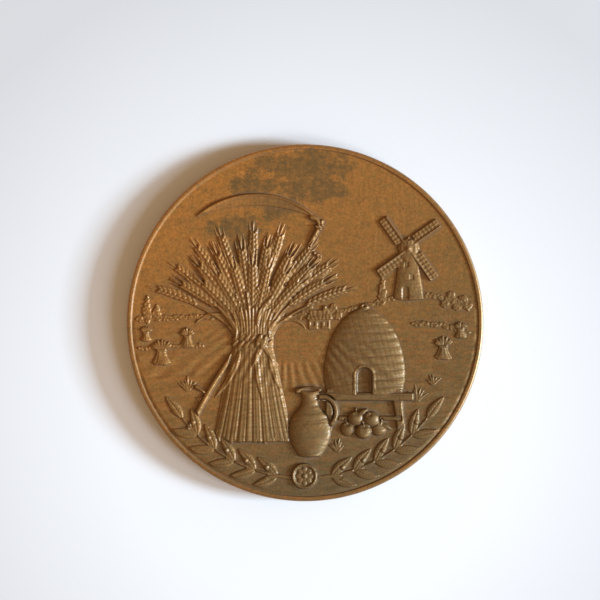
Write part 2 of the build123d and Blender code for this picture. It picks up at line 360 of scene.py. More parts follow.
# The land: a far field that rises to a hill, and the near ground
land = {
    "farLine": [(-1.2, 0.0), (-0.7, 0.03), (-0.1, 0.02), (0.25, 0.07), (0.62, 0.15), (1.2, 0.03)],
    "farRise": 0.1,
    "nearLine": [(-1.2, -0.36), (-0.6, -0.30), (0.0, -0.38), (0.5, -0.33), (1.2, -0.42)],
    "nearRise": 0.2,
    "shoulder": 0.5,
    "vanish": (-0.12, 0.16),  # where the furrows would meet
    "furrows": 60,
    "furrowDepth": 0.05,
    "tooling": 0.1,
    "skyTooling": 0.028,
}


# Height of a line of the land at a place across, in millimetres
def lineAt(line, x):
    return smoothValue(onField(line), x)


def skylineInset(line):
    return lineAt(line, gridX) - gridY


# Short marks of the modeller's tool, along the rows of the sheet or up its columns
def toolMarks(seed, long, wide, upright=False):
    order = -1 if upright else 1
    marks = softNoise(seed, *(long, wide)[::order])
    finer = softNoise(seed + 1, *(long * 0.5, wide * 0.6)[::order])
    return 0.6 * marks + 0.4 * finer


def modelLand():
    far = skylineInset(land["farLine"])
    near = skylineInset(land["nearLine"])
    onFar = clamped(far / 0.8) * clamped(1 - near / 0.6)
    onNear = clamped(near / 0.8)
    ground = swell(far, land["shoulder"], land["farRise"], 0.5)
    vanish = onField(land["vanish"])
    fan = np.arctan2(gridX - vanish[0], vanish[1] - gridY)
    patchwork = clamped(softNoise(3, 9, 4) * 2 + 0.7)
    lines = np.cos(fan * land["furrows"] + 1.2 * softNoise(4, 3)) * clamped(far / 3 - 0.2)
    ground += land["furrowDepth"] * lines * patchwork * onFar
    ground += swell(near, land["shoulder"], land["nearRise"] - land["farRise"], 0.5)
    rolls = np.cos(near * 2.1 + 2.2 * softNoise(7, 7, 3)) * softNoise(12, 6, 2)
    ground += land["tooling"] * onNear * (0.8 * toolMarks(5, 2.6, 0.42) + 0.5 * rolls)
    ground += land["tooling"] * onFar * 0.6 * toolMarks(16, 2.2, 0.36)
    sky = 0.6 * toolMarks(8, 3.2, 0.45) + 0.5 * toolMarks(10, 2.6, 0.4, True)
    ground += land["skyTooling"] * sky * clamped(-far / 0.8)
    return blurred(ground, 1) * clamped((fieldRadius - gridRadius) / 0.4)


ground = modelLand()
print("land modelled")

# A bound sheaf of wheat
sheaf = {
    "place": (-0.30, -0.10),  # middle of the band
    "tieWidth": 6.4,
    "tieRise": 0.72,  # of the stalks under the band
    "bandRise": 0.46,  # of the band above them
    "bandLength": 2.4,
    "ropePitch": 1.0,  # from one turn of the rope to the next
    "knot": 1.5,  # how far right of the middle
    "skirtLength": 17.6,
    "skirtWidth": 13.4,
    "skirtRise": 0.78,
    "stalks": 24,
    "stalkWidth": 0.78,
    "stalkAtTie": 0.46,
    "stemLength": 11.4,
    "crownLength": 9.1,
    "crownWidth": 14.6,
    "crownRise": 0.95,
    "stemWidth": 0.5,
    "seed": 11,
}
# The ears in three tiers, from the back to the front
earTiers = [
    {"count": 9, "lean": 58, "stem": 1.0, "lift": 0.0, "rise": 0.64},
    {"count": 8, "lean": 47, "stem": 0.76, "lift": 0.22, "rise": 0.58},
    {"count": 7, "lean": 36, "stem": 0.5, "lift": 0.42, "rise": 0.56},
]
earShape = {
    "length": 6.9,
    "droop": 0.25,  # turns this share of its lean further out from foot to tip
    "rows": 8,
    "grain": 1.55,
    "grainWidth": 0.74,
    "spread": 0.44,
    "splay": 19.0,
    "awn": 3.3,
    "awnWidth": 0.17,
}


# The mass of the crown or the skirt, from the band out
def modelBundle(layer, up, length, endWidth, endRise):
    place = onField(sheaf["place"])
    window, x, y = faceOver(place, endWidth, up * length, 0.5)
    run = up * y
    share = clamped(run / length)
    flare = smoothValue([(0, 0), (0.3, 0.33), (0.7, 0.75), (1, 1)], share)
    half = between(sheaf["tieWidth"], endWidth, flare) / 2
    offset = x / half
    bow = 0.3 + 0.7 * clamped(1 - offset**2)
    inset = within(half * (1 - np.abs(offset)), run + 0.3, length - run)
    lay(layer, window, inset, between(sheaf["tieRise"], endRise, share) * bow - 0.14)


def layEar(layer, foot, heading, droop, lift, rise, random):
    shape = earShape
    awnWidths = [shape["awnWidth"], shape["awnWidth"], 0.12, 0.08]
    count = 2 * shape["rows"] + 1
    points = bentLine(foot, heading, shape["length"], shape["droop"] * droop, count)
    headings = headingsAlong(heading, shape["droop"] * droop, count)
    for row in range(1, shape["rows"]):
        size = math.sin(math.pi * (0.22 + 0.62 * row / shape["rows"]))
        for side in (-1, 1):
            tip = points[2 * row] + step2d(shape["spread"] * size + 0.3, headings[2 * row] + side * 50)
            layBend(layer, tip, headings[2 * row] + side * random.uniform(3, 11),
                    shape["awn"] * random.uniform(0.8, 1.1), -side * 5, awnWidths, 0.15, lift + 0.03)
    for lean in (-9, -3, 4, 10):
        layBend(layer, points[-1], headings[-1] + lean, shape["awn"] * random.uniform(0.6, 0.85), -0.5 * lean,
                awnWidths, 0.15, lift + 0.06)
    for row in reversed(range(shape["rows"])):
        size = math.sin(math.pi * (0.25 + 0.6 * row / shape["rows"])) ** 0.7
        at, turn = points[2 * row], headings[2 * row]
        for side in (-1, 1):
            foot = at + step2d(shape["spread"] * size * 0.5, turn + side * 90)
            layLeaf(layer, foot, turn + side * shape["splay"], shape["grain"] * size, shape["grainWidth"] * size,
                    rise * 0.45, lift, belly=0.5)
        foot = at - step2d(0.35, turn)
        layLeaf(layer, foot, turn, shape["grain"] * size * 0.95, shape["grainWidth"] * size * 1.05,
                rise * 0.52, lift + rise * 0.1, belly=0.5)


# Lean and foot of an ear
def earPlace(tier, across, random):
    lean = tier["lean"] * across + random.uniform(-1.5, 1.5)
    reach = tier["stem"] * sheaf["stemLength"] * random.uniform(0.96, 1.04)
    return lean, onField(sheaf["place"]) + step2d(reach, 90 - lean)


def modelEars(layer, bed, random):
    for tier in earTiers:
        for across in outerFirst(tier["count"]):
            lean, foot = earPlace(tier, across, random)
            start = moved(onField(sheaf["place"]), 0.44 * sheaf["tieWidth"] * across, 0.5)
            bow = moved(between(start, foot, 0.5), -0.035 * lean * tier["stem"], 0.3)
            layStroke(layer, bowedLine(start, bow, foot, 7), [sheaf["stemWidth"]] * 6 + [0.4], 0.26,
                      np.maximum(bed + 0.02, tier["lift"] + 0.1))
        for across in outerFirst(tier["count"]):
            lean, foot = earPlace(tier, across, random)
            layEar(layer, foot, 90 - 1.1 * lean, -lean, tier["lift"], tier["rise"], random)


def modelStalks(layer, bed, random):
    place = onField(sheaf["place"])
    for across in placesInRow(random.permutation(sheaf["stalks"])):
        top = moved(place, across * sheaf["tieWidth"] * 0.45, 0)
        low = moved(place, (across * 0.94 + random.uniform(-0.05, 0.05)) * sheaf["skirtWidth"] / 2,
                    -sheaf["skirtLength"] + random.uniform(0.0, 0.9) + 0.5 * abs(across))
        bow = moved(between(top, low, 0.5), -across * 0.5 + random.uniform(-0.2, 0.2), 0)
        line = bowedLine(top, bow, low, 8)
        widths = np.linspace(sheaf["stalkAtTie"], sheaf["stalkWidth"] * random.uniform(0.85, 1.1), 8)
        layStroke(layer, line, widths, 0.17, bed - 0.02)
        if random.uniform() < 0.4:
            joint = line[random.integers(2, 6)]
            layDome(layer, joint, 0.72, 0.3, 0.1, float(bed[windowAt(joint, 0.05)].mean()) + 0.1)
        window, u, v = spotOver(low, 0.6)
        cutEnd = 0.3 - np.hypot(u, v * 1.35)
        hollowEnd = 0.16 * clamped((cutEnd - 0.08) / 0.08)
        lay(layer, window, cutEnd, bed[windowAt(low, 0.05)].max() + 0.18 - hollowEnd, 0.06)


# Two twisted cords of straw round the stalks, knotted to the right of the middle
def modelBand(layer):
    place = onField(sheaf["place"])
    half = sheaf["tieWidth"] / 2 + 0.3
    window, u, v = spotOver(place, half + 0.6)
    bow = clamped(1 - (u / half) ** 2)
    inset = np.minimum(sheaf["bandLength"] / 2 - np.abs(v + 0.35 * bow - 0.2), half - np.abs(u))
    lay(layer, window, inset, sheaf["tieRise"] * (0.25 + 0.75 * bow))
    lobes = int(2 * half / sheaf["ropePitch"])
    for row in (1, -1):
        for n in range(lobes):
            turn = math.asin(np.clip(2 * (n + 0.5 + 0.12 * row) / lobes - 1, -1, 1)) * 0.9
            x, bow = half * math.sin(turn), math.cos(turn) ** 2
            at = moved(place, x, row * sheaf["bandLength"] / 4 + 0.2 - 0.35 * bow)
            lift = sheaf["tieRise"] * (0.25 + 0.75 * bow) - 0.05
            layDome(layer, at, sheaf["bandLength"] * 0.66, sheaf["ropePitch"] * (0.45 + 0.4 * math.cos(turn)),
                    sheaf["bandRise"] * 0.62, lift, 42)
    knot = moved(place, sheaf["knot"], -0.15)
    bed = blurred(layer, 12)
    tailWidths = [0.8, 0.85, 0.85, 0.8, 0.7, 0.5, 0.15]
    for heading, length, turn in ((-66, 5.4, 24), (-101, 4.5, -18)):
        layBend(layer, knot, heading, length, turn, tailWidths, 0.24, bed - 0.02, groove=0.1)
    for shift, turn in ((-0.42, 66), (0.42, 66), (0.0, -20)):
        layDome(layer, knot + step2d(shift, turn - 90), 2.5 if turn > 0 else 1.9, 0.86, 0.28, 1.0, turn)


# Long dry leaves: place from the band, heading, length, turn and width
sheafLeaves = [
    {"x": -3.0, "y": 2.0, "heading": 116, "length": 8.2, "turn": 118, "width": 0.95},
    {"x": 2.9, "y": 1.8, "heading": 62, "length": 7.4, "turn": -124, "width": 0.9},
    {"x": 0.8, "y": 2.6, "heading": 84, "length": 5.6, "turn": -46, "width": 0.7},
    {"x": -2.2, "y": -2.0, "heading": 254, "length": 9.0, "turn": -26, "width": 0.95},
    {"x": 0.6, "y": -2.4, "heading": 272, "length": 7.6, "turn": 12, "width": 0.8},
    {"x": 2.9, "y": -2.6, "heading": -80, "length": 6.4, "turn": 16, "width": 0.9},
]


# They lie on what the layer holds and end in a long point
def modelLeaves(layer, leaves):
    place = onField(sheaf["place"])
    shares = np.linspace(0, 1, 11)
    for leaf in leaves:
        widths = 0.1 + leaf["width"] * np.sin(math.pi * (0.08 + 0.92 * shares ** 0.75)) ** 0.8
        bed = blurred(np.maximum(layer, 0.05), 6)
        layBend(layer, moved(place, leaf["x"], leaf["y"]), leaf["heading"], leaf["length"], leaf["turn"],
                widths, 0.16, bed + 0.06, 0.4, groove=0.1)


def modelSheaf():
    random = np.random.default_rng(sheaf["seed"])
    crown, skirt = newLayer(), newLayer()
    modelBundle(crown, 1, sheaf["crownLength"], sheaf["crownWidth"], sheaf["crownRise"])
    modelBundle(skirt, -1, sheaf["skirtLength"] - 0.5, sheaf["skirtWidth"], sheaf["skirtRise"])
    modelEars(crown, crown.copy(), random)
    modelStalks(skirt, skirt.copy(), random)
    modelLeaves(crown, sheafLeaves[:3])
    modelLeaves(skirt, sheafLeaves[3:])
    modelBand(skirt)
    return crown, skirt


crownLayer, skirtLayer = modelSheaf()
print("sheaf modelled")

# A scythe behind the sheaf
scythe = {
    "foot": (-0.67, -0.62),
    "head": (0.10, 0.585),
    "shaftWidth": 1.0,
    "shaftRise": 0.6,
    "sway": 0.7,  # the shaft's S-bend
    "bladeLength": 21.5,
    "bladeBow": 4.4,
    "bladeWidth": 2.1,
    "bladeTurn": 178.0,
    "bladeRise": 0.34,
    "backRib": 0.5,
    "grips": [(0.16, 1), (0.88, -1)],  # share along the shaft and the side
}


def leftOf(run):
    return np.array([-run[1], run[0]]) / np.hypot(*run)


# Centre and radius of the arc over a chord, bowed to its left by sagitta
def arcOver(start, end, sagitta):
    radius = (np.hypot(*(end - start)) ** 2 / 4 + sagitta**2) / (2 * sagitta)
    return (start + end) / 2 - leftOf(end - start) * (radius - sagitta), radius


# A point of the shaft, which sways in an S
def shaftAt(foot, head, share):
    sway = scythe["sway"] * math.sin(2 * math.pi * share)
    return between(foot, head, share) + leftOf(head - foot) * sway


def modelScythe():
    layer = newLayer()
    foot, head = onField(scythe["foot"]), onField(scythe["head"])
    tip = head + step2d(scythe["bladeLength"], scythe["bladeTurn"])
    outerMiddle, outerRadius = arcOver(tip, head, scythe["bladeBow"])
    innerMiddle, innerRadius = arcOver(tip, head, scythe["bladeBow"] - scythe["bladeWidth"])
    window = windowOver([head[0], tip[0]], [head[1], tip[1] + scythe["bladeBow"]], 1)
    x, y = gridX[window], gridY[window]
    fromBack = outerRadius - np.hypot(x - outerMiddle[0], y - outerMiddle[1])
    fromEdge = np.hypot(x - innerMiddle[0], y - innerMiddle[1]) - innerRadius
    fromEdge = np.where(y < innerMiddle[1], -1, fromEdge)
    heights = scythe["bladeRise"] * np.clip(fromEdge / 0.9, 0.6, 1)
    heights = heights + 0.2 * clamped(1 - np.abs(fromBack - 0.28) / scythe["backRib"] * 2) ** 0.6
    lay(layer, window, np.minimum(fromBack, fromEdge), heights)
    left = leftOf(head - foot)
    across = math.degrees(math.atan2(left[1], left[0]))
    for share, side in scythe["grips"]:
        out = across if side > 0 else across + 180
        layBend(layer, shaftAt(foot, head, share), out - 12, 2.3, 18, [0.5, 0.5, 0.55, 0.7, 0.8], 0.45, 0.1)
    widths = np.linspace(scythe["shaftWidth"] * 1.05, scythe["shaftWidth"] * 0.85, 25)
    layStroke(layer, [shaftAt(foot, head, t) for t in np.linspace(0, 1, 25)], widths, scythe["shaftRise"])
    for back in (0.5, 1.2):
        ring = head - step2d(back, across - 90)
        layStroke(layer, [ring - left * 0.58, ring + left * 0.58], 0.34, 0.2, scythe["shaftRise"] - 0.08)
    tang = head - step2d(0.9, across - 90)
    layBend(layer, tang, across - 65, 2.1, 95, [0.6, 0.7, 0.8, 0.9, 1.0, 1.0], 0.4, 0.14)
    return layer


scytheLayer = modelScythe()
print("scythe modelled")

# A straw beehive on a bench
hive = {
    "place": (0.345, -0.40),
    "width": 13.6,
    "height": 14.2,
    "rise": 1.12,
    "coils": 11,
    "coilDepth": 0.12,
    "sag": 0.55,  # the coils bow down this much in the middle
    "stitch": 1.05,
    "doorWidth": 2.6,
    "doorHeight": 3.0,
    "doorDepth": 0.75,
}
hiveOutline = [(0.0, 0.94), (0.15, 1.0), (0.4, 0.97), (0.62, 0.84), (0.8, 0.63), (0.92, 0.4), (1.0, 0.12)]
bench = {"width": 16.8, "top": 1.5, "height": 6.6, "rise": 0.75, "leg": 1.7, "inset": 1.7, "corner": 0.4}


def modelHive():
    layer = newLayer()
    foot = onField(hive["place"])
    widest, tall = hive["width"] / 2, hive["height"]
    window, x, y = faceOver(foot, hive["width"], tall, 0.8)
    half = widest * smoothValue(hiveOutline, clamped(y / tall))
    offset = clamped(np.abs(x) / half)
    bow = hive["sag"] * (1 - (x / widest) ** 2)
    coil = (y + bow) * hive["coils"] / (tall + 0.3)
    bulge = np.abs(np.sin(math.pi * coil)) ** 0.55
    half = half + 0.16 * (bulge - 0.5)
    slant = roundFace(x, half, offset) / hive["stitch"] + (coil % 1) * 0.55 + 0.37 * np.floor(coil)
    thread = ridge((slant % 1) - 0.5, 0.16)
    straw = softNoise(21, 0.9, 0.16)[window]
    heights = hive["rise"] * (half / widest) ** 0.5 * (1 - offset**2) ** 0.5
    heights = heights - hive["coilDepth"] * (1 - bulge) - 0.035 * thread * bulge + 0.015 * straw
    inset = within(half - np.abs(x), tall - 0.1 - y + 0.4 * (1 - offset), y + bow + 0.1)
    lay(layer, window, inset, heights)
    # the doorway, its collar and the landing board
    doorHalf, doorHigh = hive["doorWidth"] / 2, hive["doorHeight"]
    arch = np.where(y > doorHigh - 0.2, doorHalf - np.hypot(x, y - doorHigh + 0.2), doorHalf - np.abs(x))
    arch = np.where(y < -0.3, -1, arch)
    collarInset = 0.36 - np.abs(arch + 0.3)
    collar = swell(collarInset, 0.36, 0.22) * (1 - 0.25 * (np.sin(9 * np.arctan2(x, y - 1.4)) > 0))
    lay(layer, window, collarInset, np.maximum(heights, 0) * 0.92 + collar)
    lay(layer, window, arch, hive["rise"] - hive["doorDepth"] - 0.1, 0.14)
    # loop on the top
    crest = moved(foot, 0, tall + 0.1)
    layDome(layer, crest, 1.7, 1.3, 0.55, 0.05)
    layDome(layer, moved(crest, 0, 0.15), 0.55, 0.4, -0.25, 0.42)
    return layer


def modelBench():
    layer = newLayer()
    foot = onField(hive["place"])
    legAt = bench["width"] / 2 - bench["inset"] - bench["leg"] / 2
    grainLines = softNoise(22, 3.5, 0.22) * 0.6 + softNoise(23, 1.4, 0.14) * 0.4
    for side in (-1, 1):
        x = foot[0] + side * legAt
        top, low = (x - side * 0.3, foot[1] - 0.8), (x + side * 0.35, foot[1] - bench["height"])
        window = windowOver([top[0], low[0]], [top[1], low[1]], 1.3)
        share = clamped((top[1] - gridY[window]) / (top[1] - low[1]))
        middle = between(top[0], low[0], share)
        half = bench["leg"] / 2 * between(1.05, 0.8, share)
        inset = np.minimum(half - np.abs(gridX[window] - middle), gridY[window] - low[1])
        lay(layer, window, inset, swell(inset, 0.3, bench["rise"] - 0.12, 0.5) + 0.04 * grainLines.T[window])
    rail = foot[1] - bench["height"] * 0.66
    reach = bench["width"] / 2 - bench["inset"] - 0.4
    window = windowOver([foot[0] - reach, foot[0] + reach], [rail], 0.9)
    inset = np.minimum(0.42 - np.abs(gridY[window] - rail), reach - np.abs(gridX[window] - foot[0]))
    lay(layer, window, inset, swell(inset, 0.25, 0.42) + 0.03 * grainLines[window])
    window, x, y = faceOver(foot, bench["width"], -bench["top"], 0.6)
    y = y + bench["top"] / 2
    corner = bench["corner"]
    outX = np.maximum(np.abs(x) - bench["width"] / 2 + corner, 0)
    outY = np.maximum(np.abs(y) - bench["top"] / 2 + corner, 0)
    inset = corner - np.hypot(outX, outY)
    board = swell(inset, 0.28, bench["rise"] + 0.12, 0.45) + 0.045 * grainLines[window]
    lip = 0.09 * ridge(y - 0.34, 0.1)
    lay(layer, window, inset, board - lip)
    for side in (-1, 1):
        for near in (0.2, -0.35):
            layKnob(layer, moved(foot, side * legAt + near, -0.95), 0.34, 0.1, bench["rise"] + 0.1)
    return layer


hiveLayer = modelHive()
benchLayer = modelBench()
print("beehive and bench modelled")

# An earthenware jug in front of the bench
jug = {
    "place": (0.03, -0.765),
    "width": 7.2,
    "height": 11.0,
    "rise": 1.1,
    "handleCentre": (0.3, 0.66),  # shares of the width and the height
    "handleReach": 2.3,
    "handleHeight": 5.2,
    "handleWidth": 0.95,
    "handleRise": 0.8,
    "mouth": 0.5,  # half the height of the mouth's ellipse
    "grooves": [(0.9, 0.1), (5.9, 0.07), (6.35, 0.07), (7.5, 0.08), (9.6, 0.08)],  # height and depth
    "zigzag": 1.15,  # from one point of the scratched zigzag to the next
    "lipLine": 10.55,
}
jugOutline = [(0.0, 0.55), (0.12, 0.78), (0.38, 1.0), (0.6, 0.82), (0.78, 0.42), (0.9, 0.4), (1.0, 0.56)]


def modelJug():
    layer = newLayer()
    foot = onField(jug["place"])
    wide, tall, rise = jug["width"], jug["height"], jug["rise"]
    turns = np.radians(np.linspace(100, -85, 15))
    middle = moved(foot, jug["handleCentre"][0] * wide, jug["handleCentre"][1] * tall)
    handle = [moved(middle, jug["handleReach"] * math.cos(turn), jug["handleHeight"] / 2 * math.sin(turn))
              for turn in turns]
    layStroke(layer, handle, jug["handleWidth"], jug["handleRise"], 0.0, 0.5, groove=0.14)
    window, x, y = faceOver(foot, wide, tall, 1.0)
    share = smoothValue(jugOutline, clamped(y / tall))
    half = wide / 2 * share
    offset = clamped(np.abs(x) / half)
    base = -0.32 * np.sqrt(clamped(1 - (x / (wide * 0.275)) ** 2))
    lip = jug["mouth"] * np.sqrt(clamped(1 - (x / (wide * 0.28)) ** 2))
    heights = rise * share**0.5 * (1 - offset**2) ** 0.5
    level = y + 0.5 * (1 - offset**2)
    for line, depth in jug["grooves"]:
        heights = heights - depth * ridge(level - line, 0.13)
    zigzag = np.abs(((roundFace(x, half, offset) / jug["zigzag"]) % 1) * 2 - 1)
    wave = 5.2 + 0.32 * zigzag * 2 - 0.32
    heights = heights - 0.07 * ridge(level - wave, 0.11)
    heights = heights + 0.1 * ridge(level - jug["lipLine"], 0.4) ** 0.5 + 0.02 * softNoise(31, 1.1)[window]
    lay(layer, window, within(half - np.abs(x), y - base, tall + lip - y), heights)
    mouthAt = moved(foot, 0, tall)
    layDome(layer, mouthAt, wide * 0.56, 2 * jug["mouth"], 0.0, rise * 0.72)
    layDome(layer, mouthAt, wide * 0.46, 1.45 * jug["mouth"], -0.45, rise * 0.66)
    layDome(layer, moved(mouthAt, -wide * 0.27, -0.15), 1.2, 0.9, 0.3, 0.42, 25)  # the spout
    return layer


jugLayer = modelJug()
print("jug modelled")

# Apples under the bench: place and turn of the stalk; leaves: place, heading, rise and lift
apples = [(7.3, -17.8, 100), (12.4, -17.7, 60), (8.6, -16.0, 80), (11.2, -16.1, 110), (9.9, -18.2, 85)]
appleLeaves = [(9.0, -15.5, 35, 0.25, 0.62), (12.9, -17.0, -25, 0.3, 0.25)]
appleShape = {"width": 2.75, "rise": 0.85, "lift": 0.12}


def modelApples():
    layer = newLayer()
    for n, (x, y, stalkTurn) in enumerate(apples):
        at = np.array([x, y])
        lift = appleShape["lift"] * (n - 1)
        layDome(layer, at, appleShape["width"], appleShape["width"] * 0.94, appleShape["rise"], lift)
        eye = at + step2d(0.72, stalkTurn)
        window, u, v = spotOver(eye, 1.0, stalkTurn - 90)
        layer[window] -= 0.3 * np.exp(-(u**2 / 0.16 + v**2 / 0.06)) * (layer[window] > 0)
        layBend(layer, eye, stalkTurn, 0.95, 35, [0.2, 0.2, 0.22, 0.3], 0.2, lift + 0.42)
    for x, y, heading, rise, lift in appleLeaves:
        layLeaf(layer, np.array([x, y]), heading, 1.9, 0.9, rise, lift, crease=0.08, veins=5)
    return layer


# A windmill on the hill
mill = {
    "place": (0.60, 0.14),
    "height": 8.4,
    "base": 5.2,
    "top": 3.2,
    "rise": 0.55,
    "course": 0.62,
    "stone": 1.0,
    "capHeight": 1.7,
    "sailLength": 6.6,
    "sailBare": 1.6,
    "sailWidth": 1.5,
    "sailRise": 0.66,
    "spar": 0.34,
    "bars": 7,
    "hub": 1.1,
    "turn": 35.0,
    "windows": [(0.55, 3.6), (-0.35, 5.7)],
}


def layTower(layer, foot):
    top, cap, rise = mill["height"], mill["capHeight"], mill["rise"]
    window, x, y = faceOver(foot, mill["base"] + 0.8, top + cap, 0.6)
    share = smoothValue([(0, 0), (0.5, 0.6), (1, 1)], clamped(y / top))
    half = between(mill["base"], mill["top"], share) / 2
    offset = clamped(np.abs(x) / half)
    bow = 0.3 * (1 - offset**2)
    course = (y + bow) / mill["course"]
    shift = 0.5 * np.floor(course) + 0.17 * np.sin(course // 1 * 5)  # the joints are staggered
    stone = roundFace(x, half, offset) / mill["stone"] + shift
    joints = np.maximum(ridge((course % 1) - 0.5, 0.14), ridge((stone % 1) - 0.5, 0.09))
    heights = rise * (0.25 + 0.75 * (1 - offset**2) ** 0.5) - 0.045 * joints
    heights = heights + 0.02 * softNoise(41, 0.5)[window]
    lay(layer, window, within(half - np.abs(x), y + bow, top - y), heights)
    door = np.where(y > 1.5, 0.55 - np.hypot(x + 0.5, y - 1.5), 0.55 - np.abs(x + 0.5))
    carve(layer, window, np.where(y < -0.2, -1, door), 0.2)
    for wx, wy in mill["windows"]:
        pane = np.minimum(0.32 - np.abs(x - wx), 0.42 - np.abs(y - wy))
        carve(layer, window, pane, 0.18)
        bar = np.maximum(ridge(x - wx, 0.09), ridge(y - wy, 0.09))
        layer[window] += 0.12 * bar * (pane > 0.05)
    # the boarded cap and its knob
    capHalf = mill["top"] * 0.6 * np.sqrt(clamped(1 - clamped((y - top) / cap) ** 1.7))
    boards = 0.03 * np.cos(x * 11)
    heights = rise * 1.2 * np.sqrt(clamped(1 - (x / np.maximum(capHalf, 0.1)) ** 2)) + boards
    inset = within(capHalf - np.abs(x), y - top + 0.25, top + cap - y)
    lay(layer, window, inset, np.maximum(heights, 0.12))
    layDome(layer, moved(foot, 0, top + cap + 0.05), 0.5, 0.7, 0.4)


# A sail of lattice on its spar
def laySail(layer, head, heading):
    out, bare, width, spar = (mill[key] for key in ("sailLength", "sailBare", "sailWidth", "spar"))
    lift = mill["sailRise"] - 0.3
    window = windowAt(head + step2d(out / 2, heading), out / 2 + 1.2)
    u, v = alongFrom(window, head, heading)
    inset = within(u - bare, out - u, v + 0.05, width - v)
    bars = np.abs(((u - bare) / (out - bare) * mill["bars"]) % 1 - 0.5)
    ribs = np.maximum(clamped((bars - 0.3) / 0.1), clamped(1 - (np.abs(v - width / 2) - 0.02) / 0.1))
    ribs = np.maximum(ribs, clamped(1 - (inset - 0.1) / 0.08))
    lay(layer, window, inset, lift - 0.02 + 0.1 * ribs)
    inset = np.minimum(spar / 2 - np.abs(v), out - u)
    lay(layer, window, np.where(u < 0, -1, inset), lift + swell(inset, spar / 2, 0.28))


def modelMill():
    layer = newLayer()
    foot = onField(mill["place"])
    head = moved(foot, 0, mill["height"])
    layTower(layer, foot)
    for quarter in range(4):
        laySail(layer, head, mill["turn"] + 90 * quarter)
    layKnob(layer, head, mill["hub"] * 1.25, 0.25, mill["sailRise"] - 0.15)
    layKnob(layer, head, mill["hub"] * 0.55, 0.16, mill["sailRise"] + 0.08)
    return layer


millLayer = modelMill()
print("windmill modelled")

# Trees, hedges and a cottage on the horizon, and stooks in the fields
trees = [
    {"x": -0.915, "y": 0.0, "poplar": 0.8},
    {"x": -0.855, "y": 0.01, "poplar": 0.5},
    {"x": 0.02, "y": 0.03, "poplar": 0.0},
    {"x": 0.16, "y": 0.03, "poplar": 0.0},
    {"x": 0.45, "y": 0.1, "poplar": 0.85},
    {"x": 0.84, "y": 0.1, "poplar": 0.0},
    {"x": 0.91, "y": 0.08, "poplar": 0.0},
]
treeShape = {
    "poplarHeight": 5.6,
    "poplarWidth": 1.6,
    "poplarTiers": [(0.1, 0.55), (0.28, 0.95), (0.48, 1.0), (0.67, 0.75), (0.84, 0.45), (0.97, 0.22)],
    "bush": 2.8,
    "bushTufts": [(0.0, 0.32, 0.85), (-0.3, 0.14, 0.6), (0.3, 0.16, 0.62), (0.05, 0.62, 0.55)],
    "rise": 0.27,
    "leaves": 0.55,
}
# Hedges from a place across to another, at a drop below the far line; all as shares of the field's radius
hedges = [
    {"from": -0.96, "to": -0.5, "drop": 0.005, "high": 0.9},
    {"from": -0.1, "to": 0.3, "drop": 0.0, "high": 0.8},
    {"from": 0.38, "to": 0.53, "drop": 0.0, "high": 0.7},
    {"from": 0.68, "to": 0.97, "drop": 0.0, "high": 0.85},
    {"from": -0.95, "to": -0.6, "drop": 0.17, "high": 0.7},
    {"from": 0.64, "to": 0.96, "drop": 0.16, "high": 0.7},
]
cottage = {
    "place": (0.085, -0.035),
    "width": 4.2,
    "wall": 1.7,
    "roof": 1.5,
    "ridge": 2.9,
    "rise": 0.32,
    # the door and two windows: left side, foot, width and height
    "openings": [(-0.28, 0.0, 0.62, 1.15), (-1.45, 0.55, 0.6, 0.6), (0.85, 0.55, 0.6, 0.6)],
}
stooks = [
    {"x": -0.83, "y": -0.23, "size": 1.0},
    {"x": -0.68, "y": -0.13, "size": 0.75},
    {"x": -0.92, "y": -0.1, "size": 0.6},
    {"x": 0.8, "y": -0.2, "size": 0.9},
    {"x": 0.9, "y": -0.08, "size": 0.65},
]
stookShape = {"height": 3.6, "width": 2.9, "neck": 1.2, "rise": 0.34, "stalks": 11, "stalk": 0.4, "ears": 7}


# Tufts of leaves over a rounded bed
def modelFoliage(layer, middle, wide, high, rise, random):
    layDome(layer, middle, wide, high, rise, roundness=0.4)
    for _ in range(int(8 * wide * high)):
        turn, far = random.uniform(0, 2 * math.pi), math.sqrt(random.uniform(0, 1))
        at = middle + far * 0.46 * np.array([wide * math.cos(turn), high * math.sin(turn)])
        size = treeShape["leaves"] * random.uniform(0.7, 1.3)
        layDome(layer, at, size, size * 0.8, 0.12, rise * (0.9 - 0.45 * far**2), random.uniform(0, 180), 0.6)


def modelTree(layer, tree, random):
    foot = onField((tree["x"], tree["y"]))
    if tree["poplar"]:
        high, wide = tree["poplar"] * treeShape["poplarHeight"], treeShape["poplarWidth"]
        for share, swelling in treeShape["poplarTiers"]:
            at = moved(foot, random.uniform(-0.1, 0.1), share * high)
            tuft = high * 0.32 * swelling**0.5
            modelFoliage(layer, at, wide * swelling, tuft, treeShape["rise"] * 0.7, random)
    else:
        high = wide = treeShape["bush"]
        for x, y, size in treeShape["bushTufts"]:
            at = moved(foot, x * wide, y * high)
            modelFoliage(layer, at, wide * size, high * size * 0.8, treeShape["rise"] * 0.75, random)


def modelHedge(layer, hedge, random):
    x, end = hedge["from"] * fieldRadius, hedge["to"] * fieldRadius
    while x < end:
        size = random.uniform(0.75, 1.5)
        high = hedge["high"] * random.uniform(0.7, 1.25)
        y = lineAt(land["farLine"], x) - hedge["drop"] * fieldRadius + 0.3 * high
        modelFoliage(layer, np.array([x, y]), size * 1.3, high, treeShape["rise"] * 0.55, random)
        x += size * 0.75


